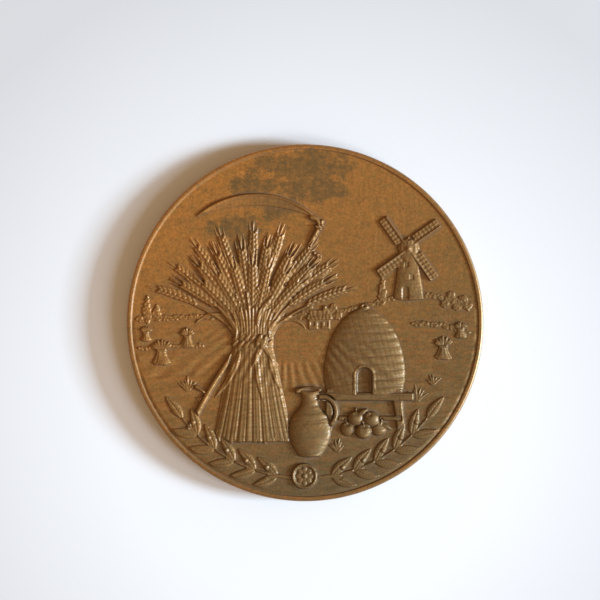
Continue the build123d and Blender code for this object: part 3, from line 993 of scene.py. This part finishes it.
def modelCottage(layer):
    window, x, y = faceOver(onField(cottage["place"]), 6, 4.5, 0.4)
    rise, wall, roof, half = cottage["rise"], cottage["wall"], cottage["roof"], cottage["width"] / 2
    chimney = within(0.34 - np.abs(x - 0.9), y - wall, wall + roof + 0.75 - y)
    lay(layer, window, chimney, rise + 0.02 + 0.05 * (np.abs(y - wall - roof - 0.5) < 0.12))
    walls = within(half - 0.25 - np.abs(x), y + 0.1, wall + 0.3 - y)
    lay(layer, window, walls, rise - 0.08 + 0.02 * softNoise(51, 0.5, 0.3)[window])
    for left, low, wide, high in cottage["openings"]:
        hole = within(x - left, left + wide - x, y - low + 0.1, low + high - y)
        carve(layer, window, hole, 0.16, 0.07)
        layer[window] += 0.09 * (np.abs(x - left - wide / 2) < 0.05) * (hole > 0.03)
    slope = clamped((y - wall) / roof)
    roofHalf = between(half + 0.12, cottage["ridge"] / 2, slope)
    thatch = 0.04 * np.cos((x - 0.12 * (y - wall) * x) * 10 + 2 * softNoise(52, 0.8)[window])
    roofInset = within(roofHalf - np.abs(x), y - wall + 0.15, wall + roof - y)
    lay(layer, window, roofInset, rise + 0.14 - 0.14 * slope + thatch + 0.08 * (slope > 0.86))


# Stalks that draw in to the tie, and ears that fan out above it
def modelStook(layer, stook, random):
    foot, size = onField((stook["x"], stook["y"])), stook["size"]
    high, wide, neck, stalk = (size * stookShape[key] for key in ("height", "width", "neck", "stalk"))
    rise, tie = stookShape["rise"], moved(foot, 0, 0.56 * high)
    for across in placesInRow(random.permutation(stookShape["stalks"])):
        low = moved(foot, across * wide / 2, (random.uniform(-0.12, 0.12) - 0.3 * (1 - across**2)) * size)
        top = moved(tie, across * neck / 2, 0.1)
        bow = moved(between(low, top, 0.6), -across * 0.1 * wide, 0)
        layStroke(layer, bowedLine(low, bow, top, 5), stalk, 0.16, rise * (0.75 - 0.55 * across**2))
    for across in outerFirst(stookShape["ears"]):
        lean = 90 - 52 * across + random.uniform(-4, 4)
        length = 0.6 * high * (1 - 0.2 * abs(across)) * random.uniform(0.9, 1.05)
        start = moved(tie, across * neck * 0.35, 0)
        layLeaf(layer, start, lean, length, 1.5 * stalk, 0.24, rise * 0.45, belly=0.62, crease=0.04)
    reach = neck * 0.56
    layStroke(layer, [moved(tie, -reach, 0), moved(tie, reach, 0)], 0.36 * size**0.5, 0.2, rise * 0.8)


def modelHorizon():
    layer = newLayer()
    random = np.random.default_rng(53)
    for hedge in hedges:
        modelHedge(layer, hedge, random)
    for tree in trees:
        modelTree(layer, tree, random)
    modelCottage(layer)
    for stook in stooks:
        modelStook(layer, stook, random)
    return layer


horizonLayer = modelHorizon()
print("horizon modelled")

# Two laurel sprays along the rim, a rosette between them
laurel = {
    "leafLength": 4.8,
    "leafWidth": 1.75,
    "leafRise": 0.36,
    "splay": 32.0,
    "pairs": 5,
    "stem": 0.5,
    "margin": 3.0,
    "foot": 4.4,
    "start": 10.0,
    "between": 8.4,
    "berry": 0.95,
    "berryLag": 4.8,
    "ribbon": 3.65,
    "ribbonTurn": 110,
}
rosette = {"place": (0.0, -0.885), "width": 4.4, "rise": 0.55, "ring": 0.55, "petals": 8}


def layLaurelLeaf(layer, foot, heading, belly, bend):
    layLeaf(layer, foot, heading, laurel["leafLength"], laurel["leafWidth"], laurel["leafRise"] * 0.8, 0.06,
            belly, crease=0.14, veins=9, bend=bend)


def modelLaurel():
    layer = newLayer()
    radius, berry = fieldRadius - laurel["margin"], laurel["berry"]
    last = laurel["start"] + laurel["pairs"] * laurel["between"]
    for side in (-1, 1):
        stem = [step2d(radius, -90 + side * turn) for turn in np.linspace(laurel["foot"], last + 1, 16)]
        layStroke(layer, stem, np.linspace(laurel["stem"] * 1.2, laurel["stem"] * 0.6, 16), 0.35)
        layLaurelLeaf(layer, step2d(radius, -90 + side * last), -90 + side * (last + 90), 0.4, side * 0.1)
        for n in reversed(range(laurel["pairs"])):
            turn = laurel["start"] + n * laurel["between"]
            foot = step2d(radius, -90 + side * turn)
            onward = -90 + side * (turn + 90)
            for fork in (-1, 1):
                layLaurelLeaf(layer, foot, onward + fork * laurel["splay"], 0.42, fork * 0.16)
            berryAt = step2d(radius - berry, -90 + side * (turn + laurel["berryLag"]))
            layStroke(layer, [step2d(radius, -90 + side * (turn + 2.2)), berryAt], 0.24, 0.2, 0.1)
            layKnob(layer, berryAt, berry, 0.5, 0.05)
            layKnob(layer, berryAt + step2d(0.2, onward), 0.2, -0.1, 0.45)
        # the ribbon that ties the sprays at the foot
        start = step2d(radius + 0.2, -90 + side * 5)
        layBend(layer, start, -90 + side * laurel["ribbonTurn"], laurel["ribbon"], side * -30,
                [0.3, 0.6, 0.8, 0.8, 0.7, 0.75, 0.85], 0.2, 0.04, 0.35, groove=0.07)
    return layer


def modelRosette():
    layer = newLayer()
    centre = onField(rosette["place"])
    reach, cordWidth, rise = rosette["width"] / 2, rosette["ring"] / 2, rosette["rise"]
    window, u, v = spotOver(centre, reach + 0.6)
    far, turn = np.hypot(u, v), np.arctan2(v, u)
    lay(layer, window, reach - far, rise - 0.3)
    ring = cordWidth - np.abs(far - reach + cordWidth)
    cord = 0.1 * np.abs(np.sin(turn * 12 + far * 5)) ** 0.6
    lay(layer, window, ring, rise - 0.3 + swell(ring, cordWidth, 0.26) + cord)
    for n in range(rosette["petals"]):
        heading = 90 + 360 * n / rosette["petals"]
        layLeaf(layer, centre + step2d(0.25, heading), heading, 1.35, 0.85, 0.2, rise - 0.26, 0.6, crease=0.07)
    layKnob(layer, centre, 0.9, 0.3, rise - 0.2)
    for n in range(6):
        layKnob(layer, centre + step2d(0.26, 60 * n), 0.2, 0.08, rise + 0.03)
    return layer


# Tussocks of grass: place in millimetres, blades, tallest blade
tufts = [
    {"x": 5.4, "y": -21.6, "blades": 6, "tall": 2.6},
    {"x": 18.8, "y": -13.2, "blades": 7, "tall": 3.2},
    {"x": 21.6, "y": -10.4, "blades": 5, "tall": 2.2},
    {"x": -19.6, "y": -11.4, "blades": 7, "tall": 3.0},
    {"x": -17.2, "y": -13.6, "blades": 5, "tall": 2.1},
]
grass = {"blade": 0.44, "rise": 0.2, "foot": 0.1, "fan": 30, "seed": 61}


def modelGrass():
    layer = newLayer()
    random = np.random.default_rng(grass["seed"])
    for tuft in tufts:
        for across in placesInRow(random.permutation(tuft["blades"])):
            start = (tuft["x"] + across * grass["foot"] * tuft["tall"], tuft["y"] + random.uniform(-0.1, 0.1))
            length = tuft["tall"] * random.uniform(0.75, 1.0) * (1 - 0.2 * abs(across))
            turn = random.uniform(-12, 12) - 30 * across
            widths = grass["blade"] * np.array([0.5, 0.85, 1, 0.85, 0.55, 0.15])
            layBend(layer, start, 90 - grass["fan"] * across, length, turn, widths, grass["rise"], 0.03)
    return layer


applesLayer = modelApples()
laurelLayer = modelLaurel()
rosetteLayer = modelRosette()
grassLayer = modelGrass()
print("small forms modelled")

# Name, layer and group, from the back to the front
reliefForms = [
    ("horizonTrees", horizonLayer, "horizon"),
    ("windmill", millLayer, "mill"),
    ("grassTufts", grassLayer, "grass"),
    ("scythe", scytheLayer, "scythe"),
    ("sheafEars", crownLayer, "sheaf"),
    ("sheafStalks", skirtLayer, "sheaf"),
    ("bench", benchLayer, "hive"),
    ("beehive", hiveLayer, "hive"),
    ("apples", applesLayer, "apples"),
    ("jug", jugLayer, "jug"),
    ("laurel", laurelLayer, "laurel"),
    ("rosette", rosetteLayer, "rosette"),
]
# Where a form stands higher than raised, it presses back the ones behind it
settling = {
    "margin": 0.25,  # the forms end this far inside the field's edge
    "fade": 0.3,
    "raised": 0.12,
    "pressReach": 0.16,
    "pressed": 0.15,  # share of their height that is left, over the floor
    "floor": 0.1,
}


# The pressing leaves a dark line round each form; forms of one group don't press each other
def settleForms():
    inside = clamped((fieldRadius - settling["margin"] - gridRadius) / settling["fade"])
    settled = []
    for n, (name, layer, group) in enumerate(reliefForms):
        layer = blurred(layer, sheet["softening"])
        for _, front, frontGroup in reliefForms[n + 1:]:
            if frontGroup == group:
                continue
            shade = clamped(boxMean((front > settling["raised"]).astype(float), settling["pressReach"]) * 2.5)
            lowered = np.minimum(layer, settling["pressed"] * np.maximum(layer, 0) + settling["floor"])
            layer = np.where(layer > lowered, between(layer, lowered, shade), layer)
        layer = np.minimum(layer, reliefTop - 0.01 - ground)
        settled.append((name, between(-sheet["dip"], layer, inside)))
    return settled


settledForms = settleForms()
skin = ground.copy()
for _, layer in settledForms:
    skin = np.maximum(skin, ground + layer)
print("forms settled; highest", round(float(skin.max()), 2), "mm above the field")


# What the finish reads at each point: how deep it lies below its surroundings, how far it stands out of them,
# and where the forms are, fading out over the ground beside them. The depth is painted as dirt and painted shade
# in recesses and round the forms' feet
def wearDirtAndShadeMaps():
    wideMean = boxMean(boxMean(skin, 0.28), 0.2)
    nearMean = boxMean(boxMean(skin, 0.14), 0.1)
    hollow = np.maximum(clamped((wideMean - skin) / 0.2), clamped((nearMean - skin) / 0.1))
    worn = clamped((skin - wideMean) / 0.2) * 0.6 + clamped((skin - nearMean) / 0.09) * 0.4
    raised = boxMean(boxMean(clamped((skin - ground) / 0.1), 0.5), 0.35)
    return {"hollow": blurred(hollow, 2), "worn": blurred(worn, 1), "raised": raised}


lookMaps = wearDirtAndShadeMaps()


def sample(sheetMap, x, y):
    u = np.clip((x - sheetAxis[0]) / sheet["step"], 0, sheetLines - 1.001)
    v = np.clip((y - sheetAxis[0]) / sheet["step"], 0, sheetLines - 1.001)
    i, j = v.astype(int), u.astype(int)
    low = between(sheetMap[i, j], sheetMap[i, j + 1], u - j)
    high = between(sheetMap[i + 1, j], sheetMap[i + 1, j + 1], u - j)
    return between(low, high, v - i)


def makePiece(name, points, faces, looks, material):
    mesh = bpy.data.meshes.new(name)
    mesh.from_pydata(points * mm, [], faces)
    mesh.validate()
    mesh.shade_smooth()
    for label, values in looks.items():
        mesh.attributes.new(label, "FLOAT", "POINT").data.foreach_set("value", values.astype(np.float32))
    mesh.materials.append(material)
    piece = addObject(name, mesh)
    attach(piece, "root")
    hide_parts("medal")
    print("piece", name, "with", sum(len(face) - 2 for face in faces), "triangles")
    return piece


# What a grid holds at the four corners of its cells, in order round them
def cellCorners(grid):
    return grid[:-1, :-1], grid[:-1, 1:], grid[1:, 1:], grid[1:, :-1]


# Cells that meet only at a corner get a third one beside them, so the wall round them closes
def closeCorners(cells):
    a, b, c, d = cellCorners(cells)
    for _ in range(4):
        rising, falling = a & c & ~b & ~d, b & d & ~a & ~c
        b |= rising
        a |= falling


# A closed body from a layer: its top, a wall down from its outline, and a flat underside inside the disc
def reliefPiece(name, layer, material):
    cells = np.logical_or.reduce(cellCorners(layer > 0.03 - sheet["dip"]))
    closeCorners(cells)
    used = np.zeros(layer.shape, bool)
    for corner in cellCorners(used):
        corner |= cells
    index = np.full(layer.shape, -1)
    index[used] = np.arange(used.sum())
    top = np.column_stack([gridX[used], gridY[used], (fieldZ + ground + layer)[used]])
    corners = cellCorners(index)
    quads = np.column_stack([corner[cells] for corner in corners])
    # the edges of cells that have no cell beside them
    around = np.pad(cells, 1)
    outline = []
    for side, (rows, columns) in enumerate(((0, 1), (1, 2), (2, 1), (1, 0))):
        bare = cells & ~around[rows:rows + cells.shape[0], columns:columns + cells.shape[1]]
        outline.append(np.column_stack([corners[side][bare], corners[(side + 1) % 4][bare]]))
    outline = np.concatenate(outline)
    rim = np.unique(outline)
    low = np.full(len(top), -1)
    low[rim] = len(top) + np.arange(len(rim))
    floorPoints = top[rim].copy()
    floorPoints[:, 2] = fieldZ - sheet["underside"]
    walls = np.column_stack([low[outline[:, 0]], low[outline[:, 1]], outline[:, 1], outline[:, 0]])
    base = bmesh.new()
    verts = {int(n): base.verts.new(point) for n, point in zip(low[rim], floorPoints)}
    names = {vert: n for n, vert in verts.items()}
    edges = [base.edges.new((verts[int(low[a])], verts[int(low[b])])) for a, b in outline]
    filled = bmesh.ops.triangle_fill(base, edges=edges, use_beauty=False, use_dissolve=False)["geom"]
    underside = []
    for face in filled:
        if isinstance(face, bmesh.types.BMFace):
            loop = [names[vert] for vert in face.verts]
            underside.append(loop if face.normal.z < 0 else loop[::-1])
    base.free()
    points = np.concatenate([top, floorPoints])
    faces = quads.tolist() + walls.tolist() + underside
    looks = {label: np.concatenate([values[used], values[used][rim]]) for label, values in lookMaps.items()}
    return makePiece(name, points, faces, looks, material)


# A rounded corner of the edge, from upright through the given turns: radius and distance from the flat
def cornerArc(turns):
    for turn in turns:
        out, up = math.cos(math.radians(turn)), math.sin(math.radians(turn))
        yield medalRadius - blank["edgeRound"] * (1 - out), blank["edgeRound"] * (1 - up), out


# The disc's section from the foot of the rim's slope over the rim to the reverse: radius, height and wear
def rimSection():
    top, sink, back, corner = (blank[key] for key in ("rimHeight", "obverseSink", "reverseSink", "edgeRound"))
    section = [(fieldRadius + share * blank["rimSlope"], fieldZ + rise * sink, rub)
               for share, rise, rub in blank["slopeRows"]]
    section.append((rimInner - 0.04, top, 0.3))
    section += [(radius, top - drop, 0.4 + 5.2 * out) for radius, drop, out in cornerArc(range(90, -1, -15))]
    section += [(medalRadius, corner + share * (top - 2 * corner), rub)
                for share, rub in ((0.85, 4.8), (0.5, 2.8), (0.25, 2.0))]
    section += [(radius, rise, 0.3) for radius, rise, _ in cornerArc(range(0, 91, 30))]
    section += [(rimInner + 0.03, 0.0, 0.3), (rimInner - 0.05, 0.04, 0.3)]
    section += [(fieldRadius + 0.06, back - 0.04, 0.0), (fieldRadius, back, 0.0)]
    return section + [(fieldRadius * share, back, 0.0) for share in blank["backRings"]]


# A square of even cells drawn out to a disc, so no cell is thin
def squareToDisc(cells):
    side = np.linspace(-1, 1, cells + 1)
    u, v = np.meshgrid(side, side)
    wide = np.abs(u) >= np.abs(v)
    safeU, safeV = np.where(u == 0, 1, u), np.where(v == 0, 1, v)
    reach = np.where(wide, u, v) * fieldRadius
    turn = np.where(wide, math.pi / 4 * v / safeU, math.pi / 2 - math.pi / 4 * u / safeV)
    return reach * np.cos(turn), reach * np.sin(turn)


def discPiece(material):
    x, y = squareToDisc(blank["fieldCells"])
    points = [np.column_stack([x.ravel(), y.ravel(), (fieldZ + sample(ground, x, y)).ravel()])]
    index = np.arange(x.size).reshape(x.shape)
    faces = np.column_stack([corner.ravel() for corner in cellCorners(index)]).tolist()
    ring = np.concatenate([index[0, :-1], index[:-1, -1], index[-1, :0:-1], index[:0:-1, 0]])
    ringTurn = np.arctan2(y.ravel()[ring], x.ravel()[ring])
    random = np.random.default_rng(blank["edgeSeed"])
    waves = [(random.integers(3, 60), random.uniform(0, 6.28), random.uniform(0.001, 0.004))
             for _ in range(blank["edgeWaves"])]
    wobble = sum(size * (np.cos(count * ringTurn + phase) - 1) for count, phase, size in waves)
    edges = {"hollow": [], "worn": [], "raised": []}
    count = index.size
    for n, (radius, height, rub) in enumerate(rimSection()):
        outer = radius > rimInner + 0.06
        radii = radius + (wobble * 0.5 if outer else 0 * wobble)
        fresh = np.arange(count, count + len(ring))
        place = [radii * np.cos(ringTurn), radii * np.sin(ringTurn), np.full(len(ring), height)]
        points.append(np.column_stack(place))
        faces += np.column_stack([ring, fresh, np.roll(fresh, -1), np.roll(ring, -1)]).tolist()
        # the rim's inner slope rows get dirt and painted shade through the hollow value
        dirtAndShade = blank["slopeDirtAndShade"] if n < len(blank["slopeRows"]) else 0.0
        dull = blank["edgeDull"] if outer and height > blank["edgeRound"] else 0.0
        for label, value in (("hollow", dirtAndShade), ("worn", rub), ("raised", dull)):
            edges[label].append(np.full(len(ring), value))
        ring, count = fresh, count + len(ring)
    points.append(np.array([[0, 0, blank["reverseSink"]]]))
    faces += [[int(a), count, int(b)] for a, b in zip(ring, np.roll(ring, -1))]
    looks = {label: np.concatenate([sample(values, x, y).ravel()] + edges[label] + [[0.0]])
             for label, values in lookMaps.items()}
    return makePiece("disc", np.concatenate(points), faces, looks, material)


# Node helpers: an input is a socket to link or a plain value
def addNode(tree, kind, inputs, **settings):
    node = tree.nodes.new("ShaderNode" + kind)
    for name, value in settings.items():
        setattr(node, name, value)
    for key, value in inputs.items():
        if isinstance(value, bpy.types.NodeSocket):
            tree.links.new(value, node.inputs[key])
        else:
            node.inputs[key].default_value = value
    return node


def figure(tree, operation, *values):
    return addNode(tree, "Math", dict(enumerate(values)), operation=operation).outputs[0]


def times(tree, first, second):
    return figure(tree, "MULTIPLY", first, second)


def plus(tree, first, second):
    return figure(tree, "ADD", first, second)


def minus(tree, first, second):
    return figure(tree, "SUBTRACT", first, second)


def ramp(tree, value, low, high, start=0.0, end=1.0):
    inputs = {"Value": value, "From Min": low, "From Max": high, "To Min": start, "To Max": end}
    return addNode(tree, "MapRange", inputs).outputs["Result"]


def tint(tree, amount, under, over, blend="MIX"):
    node = addNode(tree, "MixRGB", {"Fac": amount, "Color1": under, "Color2": over}, blend_type=blend)
    return node.outputs["Color"]


def noise(tree, coords, scale, detail=4.0, roughness=0.55, stretch=(1, 1, 1)):
    # turned, so that the spots don't line up in rows
    turned = {"Vector": coords, "Scale": stretch, "Rotation": (0.6, 0.4, 0.5)}
    mapped = addNode(tree, "Mapping", turned).outputs["Vector"]
    inputs = {"Vector": mapped, "Scale": scale, "Detail": detail, "Roughness": roughness}
    return addNode(tree, "TexNoise", inputs).outputs["Fac"]


# The patina: orange-brown to the upper left, olive-brown to the lower right, with grey dirt and painted shade in
# the hollows
bronzeLook = {
    "orange": (0.465, 0.19, 0.037, 1),
    "olive": (0.205, 0.118, 0.036, 1),
    "green": (0.18, 0.122, 0.03, 1),
    "rust": (0.37, 0.145, 0.034, 1),
    # dirt and painted shade: this grey is laid into hollows, creases and round the forms' feet
    "dirtAndShade": (0.215, 0.16, 0.12, 1),
    "worn": (0.50, 0.37, 0.26, 1),
    "stain": (0.128, 0.083, 0.031, 1),
    "relief": (0.145, 0.096, 0.042, 1),  # the raised forms are duller than the ground round them
    "reliefShare": 0.5,
    "veil": (0.235, 0.118, 0.034, 1),
    "veilShare": 0.32,
    "foot": (0.105, 0.085, 0.042, 1),  # darker towards the foot of the picture and its lower right
    "footShare": 0.33,
    "metallic": 0.8,
    "roughness": 0.66,
    "coat": 0.27,  # thin old lacquer, which gives the cool lights
    "coatRoughness": 0.23,
    "wear": 0.055,
    "polish": 0.23,  # how much smoother the rubbed crests are
    "hollows": 0.75,
    "stains": 0.76,
    "speckle": 0.22,  # how much the fine spots lighten and darken the metal
    "grain": 3.4,  # noise spots in a millimetre
    "grainDepth": 0.016,  # millimetres
}
# Tarnish stains on the sky: middle, half width and half height in millimetres
stains = [
    {"x": -11.8, "y": 15.9, "wide": 3.6, "high": 1.6},
    {"x": -10.9, "y": 13.2, "wide": 2.0, "high": 1.7},
    {"x": -8.6, "y": 23.0, "wide": 3.2, "high": 1.3},
    {"x": -0.4, "y": 26.4, "wide": 5.8, "high": 1.9},
    {"x": 1.4, "y": 22.6, "wide": 4.2, "high": 1.7},
    {"x": -8.4, "y": 10.2, "wide": 1.7, "high": 1.9},
    {"x": -4.2, "y": 19.0, "wide": 2.2, "high": 1.5},
    {"x": 0.1, "y": 9.6, "wide": 1.5, "high": 0.8},
]


def stainAmount(tree, coords, x, y):
    edge = noise(tree, coords, 0.4, 9.0, 0.8, (1, 1.3, 0))
    gaps = noise(tree, coords, 1.0, 7.0, 0.75, (0.8, 1.2, 0))
    total = None
    for spot in stains:
        across = times(tree, minus(tree, x, spot["x"]), 1 / spot["wide"])
        upward = times(tree, minus(tree, y, spot["y"]), 1 / spot["high"])
        near = ramp(tree, plus(tree, times(tree, across, across), times(tree, upward, upward)), 3.2, 0.1)
        total = near if total is None else figure(tree, "MAXIMUM", total, near)
    soft = ramp(tree, plus(tree, total, times(tree, edge, 4.0)), 2.3, 2.65)
    return times(tree, soft, ramp(tree, gaps, 0.4, 0.56, 0.45, 1.0))


# Colour before wear, dirt with painted shade, and stains: patina tones, darker towards the foot and the lower
# right
def patinaColour(tree, coords, x, y, onLand, bare):
    look = bronzeLook
    slope = minus(tree, times(tree, x, 0.55), y)
    cloudy = noise(tree, coords, 0.14, 5.0, 0.6, (0.8, 1.3, 1))
    drift = plus(tree, slope, times(tree, cloudy, 42.0))
    colour = tint(tree, ramp(tree, drift, -9.0, 41.0), look["orange"], look["olive"])
    green = noise(tree, coords, 0.8, 7.0, 0.75, (1, 1.2, 1))
    colour = tint(tree, ramp(tree, green, 0.4, 0.66, 0.0, 0.6), colour, look["green"])
    veil = noise(tree, coords, 0.42, 8.0, 0.75, (0.8, 1.3, 1))
    veil = ramp(tree, veil, 0.42, 0.58, 0.0, look["veilShare"])
    colour = tint(tree, times(tree, veil, ramp(tree, slope, -30.0, -10.0, 0.3, 1.0)), colour, look["veil"])
    flecks = noise(tree, coords, 1.3, 6.0, 0.75, (1, 1.2, 1))
    colour = tint(tree, ramp(tree, flecks, 0.44, 0.66, 0.0, 0.6), colour, look["rust"])
    streaks = noise(tree, coords, 1.0, 5.0, 0.65, (0.25, 1.9, 1))
    colour = tint(tree, times(tree, ramp(tree, streaks, 0.5, 0.64, 0.0, 0.6), onLand), colour, look["rust"])
    # darker towards the bottom and the lower right of the field
    foot = plus(tree, ramp(tree, minus(tree, times(tree, x, 0.8), y), 4.0, 32.0, 0.0, look["footShare"]),
                ramp(tree, y, -14.0, -28.0, 0.0, look["footShare"]))
    away = figure(tree, "SQRT", plus(tree, times(tree, x, x), times(tree, y, y)))
    inField = ramp(tree, away, fieldRadius + 0.12, fieldRadius - 0.1)
    colour = tint(tree, times(tree, times(tree, foot, bare), inField), colour, look["foot"])
    speckle = noise(tree, coords, 2.6, 4.0, 0.65)
    level = ramp(tree, speckle, 0.32, 0.68, 1 - look["speckle"], 1 + look["speckle"])
    return tint(tree, 1.0, colour, level, "MULTIPLY")


def bronzeMaterial():
    look = bronzeLook
    material = bpy.data.materials.new("agedBronzeAndPaintedShade")
    material.use_nodes = True
    tree = material.node_tree
    tree.nodes.clear()
    place = addNode(tree, "TexCoord", {}).outputs["Object"]
    coords = addNode(tree, "Mapping", {"Vector": place, "Scale": (1 / mm, 1 / mm, 1 / mm)}).outputs["Vector"]
    split = addNode(tree, "SeparateXYZ", {0: coords})
    x, y = split.outputs["X"], split.outputs["Y"]
    hollow, worn, raised = (addNode(tree, "Attribute", {}, attribute_name=label).outputs["Fac"]
                            for label in ("hollow", "worn", "raised"))
    mottle = noise(tree, coords, 1.1, 8.0, 0.7)
    bare = ramp(tree, raised, 0.2, 0.9, 1.0, 0.4)
    stain = times(tree, stainAmount(tree, coords, x, y), bare)
    onLand = times(tree, ramp(tree, raised, 0.9, 0.2), ramp(tree, y, 3.0, -1.0))
    colour = patinaColour(tree, coords, x, y, onLand, bare)
    dull = ramp(tree, raised, 0.1, 1.0, 0.0, look["reliefShare"])
    dull = times(tree, dull, ramp(tree, mottle, 0.35, 0.6, 1.0, 0.75))
    dull = times(tree, dull, ramp(tree, x, -20.0, 6.0, 0.3, 1.0))
    crest = times(tree, worn, ramp(tree, mottle, 0.25, 0.6, 0.5, 1.0))
    # hollow tints the colour to grey dirt with painted shade in recesses and beside the forms
    layers = ((dull, "relief"), (times(tree, stain, look["stains"]), "stain"),
              (times(tree, crest, look["wear"]), "worn"), (times(tree, hollow, look["hollows"]), "dirtAndShade"))
    for amount, key in layers:
        colour = tint(tree, amount, colour, look[key])
    # fine grain, and on the land short marks of the tool that run across
    grain = noise(tree, coords, look["grain"], 4.0, 0.62)
    rows = noise(tree, coords, 2.4, 3.0, 0.6, (0.3, 1.3, 1))
    relief = plus(tree, grain, times(tree, rows, onLand))
    bump = addNode(tree, "Bump", {"Height": relief, "Distance": look["grainDepth"] * mm, "Strength": 1.0})
    rough = ramp(tree, mottle, 0.3, 0.7, look["roughness"] - 0.06, look["roughness"] + 0.08)
    rough = plus(tree, rough, times(tree, stain, 0.1))
    rough = minus(tree, rough, times(tree, figure(tree, "MINIMUM", crest, 1.0), look["polish"]))
    inputs = {"Base Color": colour, "Metallic": look["metallic"], "Roughness": rough,
              "Coat Weight": look["coat"], "Coat Roughness": look["coatRoughness"],
              "Normal": bump.outputs["Normal"], "Coat Normal": bump.outputs["Normal"]}
    shader = addNode(tree, "BsdfPrincipled", inputs)
    out = addNode(tree, "OutputMaterial", {})
    tree.links.new(shader.outputs["BSDF"], out.inputs["Surface"])
    return material


bronze = bronzeMaterial()
discPiece(bronze)
for name, layer in settledForms:
    reliefPiece(name, layer, bronze)
print("medal built")

# The pale table with a painted pool of light on it, and the soft light of a low window to the right of it
stageLook = {
    "tableSize": 3.0,
    "tableColor": (0.80, 0.80, 0.80, 1),
    "paintedPoolMiddle": (0.001, -0.014),  # painted pool of light: the table's colour is lightest here and darkens round it
    "paintedPoolRadius": 0.034,
    "paintedPoolReach": 0.076,
    "paintedPoolFall": 0.25,
    "clouding": 0.03,
    "ambient": (0.49, 0.33, 0.185),
    "backdrop": (0.72, 0.71, 0.70),  # what the camera sees past the table's edge
}
# Two windows: turn is in degrees from the right of the picture, and height in degrees above the table
windows = [
    {"turn": -5.0, "height": 21.8, "distance": 3.0, "size": (0.6, 0.6),
     "power": 208.0, "color": (0.587, 0.777, 0.968)},
    {"turn": -26.0, "height": 39.5, "distance": 3.0, "size": (1.0, 1.1),
     "power": 46.0, "color": (0.73, 0.83, 0.98)},
]


def tableMaterial():
    material = bpy.data.materials.new("paleTable")
    material.use_nodes = True
    tree = material.node_tree
    shader = tree.nodes["Principled BSDF"]
    coords = addNode(tree, "TexCoord", {}).outputs["Object"]
    middle = stageLook["paintedPoolMiddle"] + (0,)
    reach = addNode(tree, "VectorMath", {0: coords, 1: middle}, operation="DISTANCE").outputs["Value"]
    # painted pool of light: the table's colour darkens away from its middle
    paintedFalloff = ramp(tree, reach, stageLook["paintedPoolRadius"], stageLook["paintedPoolReach"], 0.0, stageLook["paintedPoolFall"])
    soft = times(tree, noise(tree, coords, 14.0, 3.0, 0.5), stageLook["clouding"])
    base = stageLook["tableColor"]
    shade = tint(tree, plus(tree, paintedFalloff, soft), base, (0, 0, 0, 1))
    tree.links.new(shade, shader.inputs["Base Color"])
    shader.inputs["Roughness"].default_value = 0.6
    shader.inputs["Specular IOR Level"].default_value = 0.2
    return material


def roomWorld():
    world = bpy.data.worlds.new("room")
    world.use_nodes = True
    tree = world.node_tree
    seen = addNode(tree, "LightPath", {}).outputs["Is Camera Ray"]
    shade = tint(tree, seen, stageLook["ambient"] + (1,), stageLook["backdrop"] + (1,))
    tree.links.new(shade, tree.nodes["Background"].inputs["Color"])
    return world


def buildStage():
    half = stageLook["tableSize"] / 2
    mesh = bpy.data.meshes.new("table")
    square = [(-half, -half, 0), (half, -half, 0), (half, half, 0), (-half, half, 0)]
    mesh.from_pydata(square, [], [(0, 1, 2, 3)])
    mesh.materials.append(tableMaterial())
    table = addObject("table", mesh)
    for number, look in enumerate(windows):
        turn, height = math.radians(look["turn"]), math.radians(look["height"])
        level = math.cos(height)
        towards = Vector((math.cos(turn) * level, math.sin(turn) * level, math.sin(height)))
        data = bpy.data.lights.new(f"window{number}", "AREA")
        data.shape = "RECTANGLE"
        data.size, data.size_y = look["size"]
        data.energy = look["power"]
        data.color = look["color"]
        light = addObject(data.name, data)
        light.location = towards * look["distance"]
        light.rotation_euler = towards.to_track_quat("Z", "Y").to_euler()
    bpy.context.scene.world = roomWorld()
    bpy.context.scene.view_settings.view_transform = "Standard"


buildStage()
print("stage and light set")
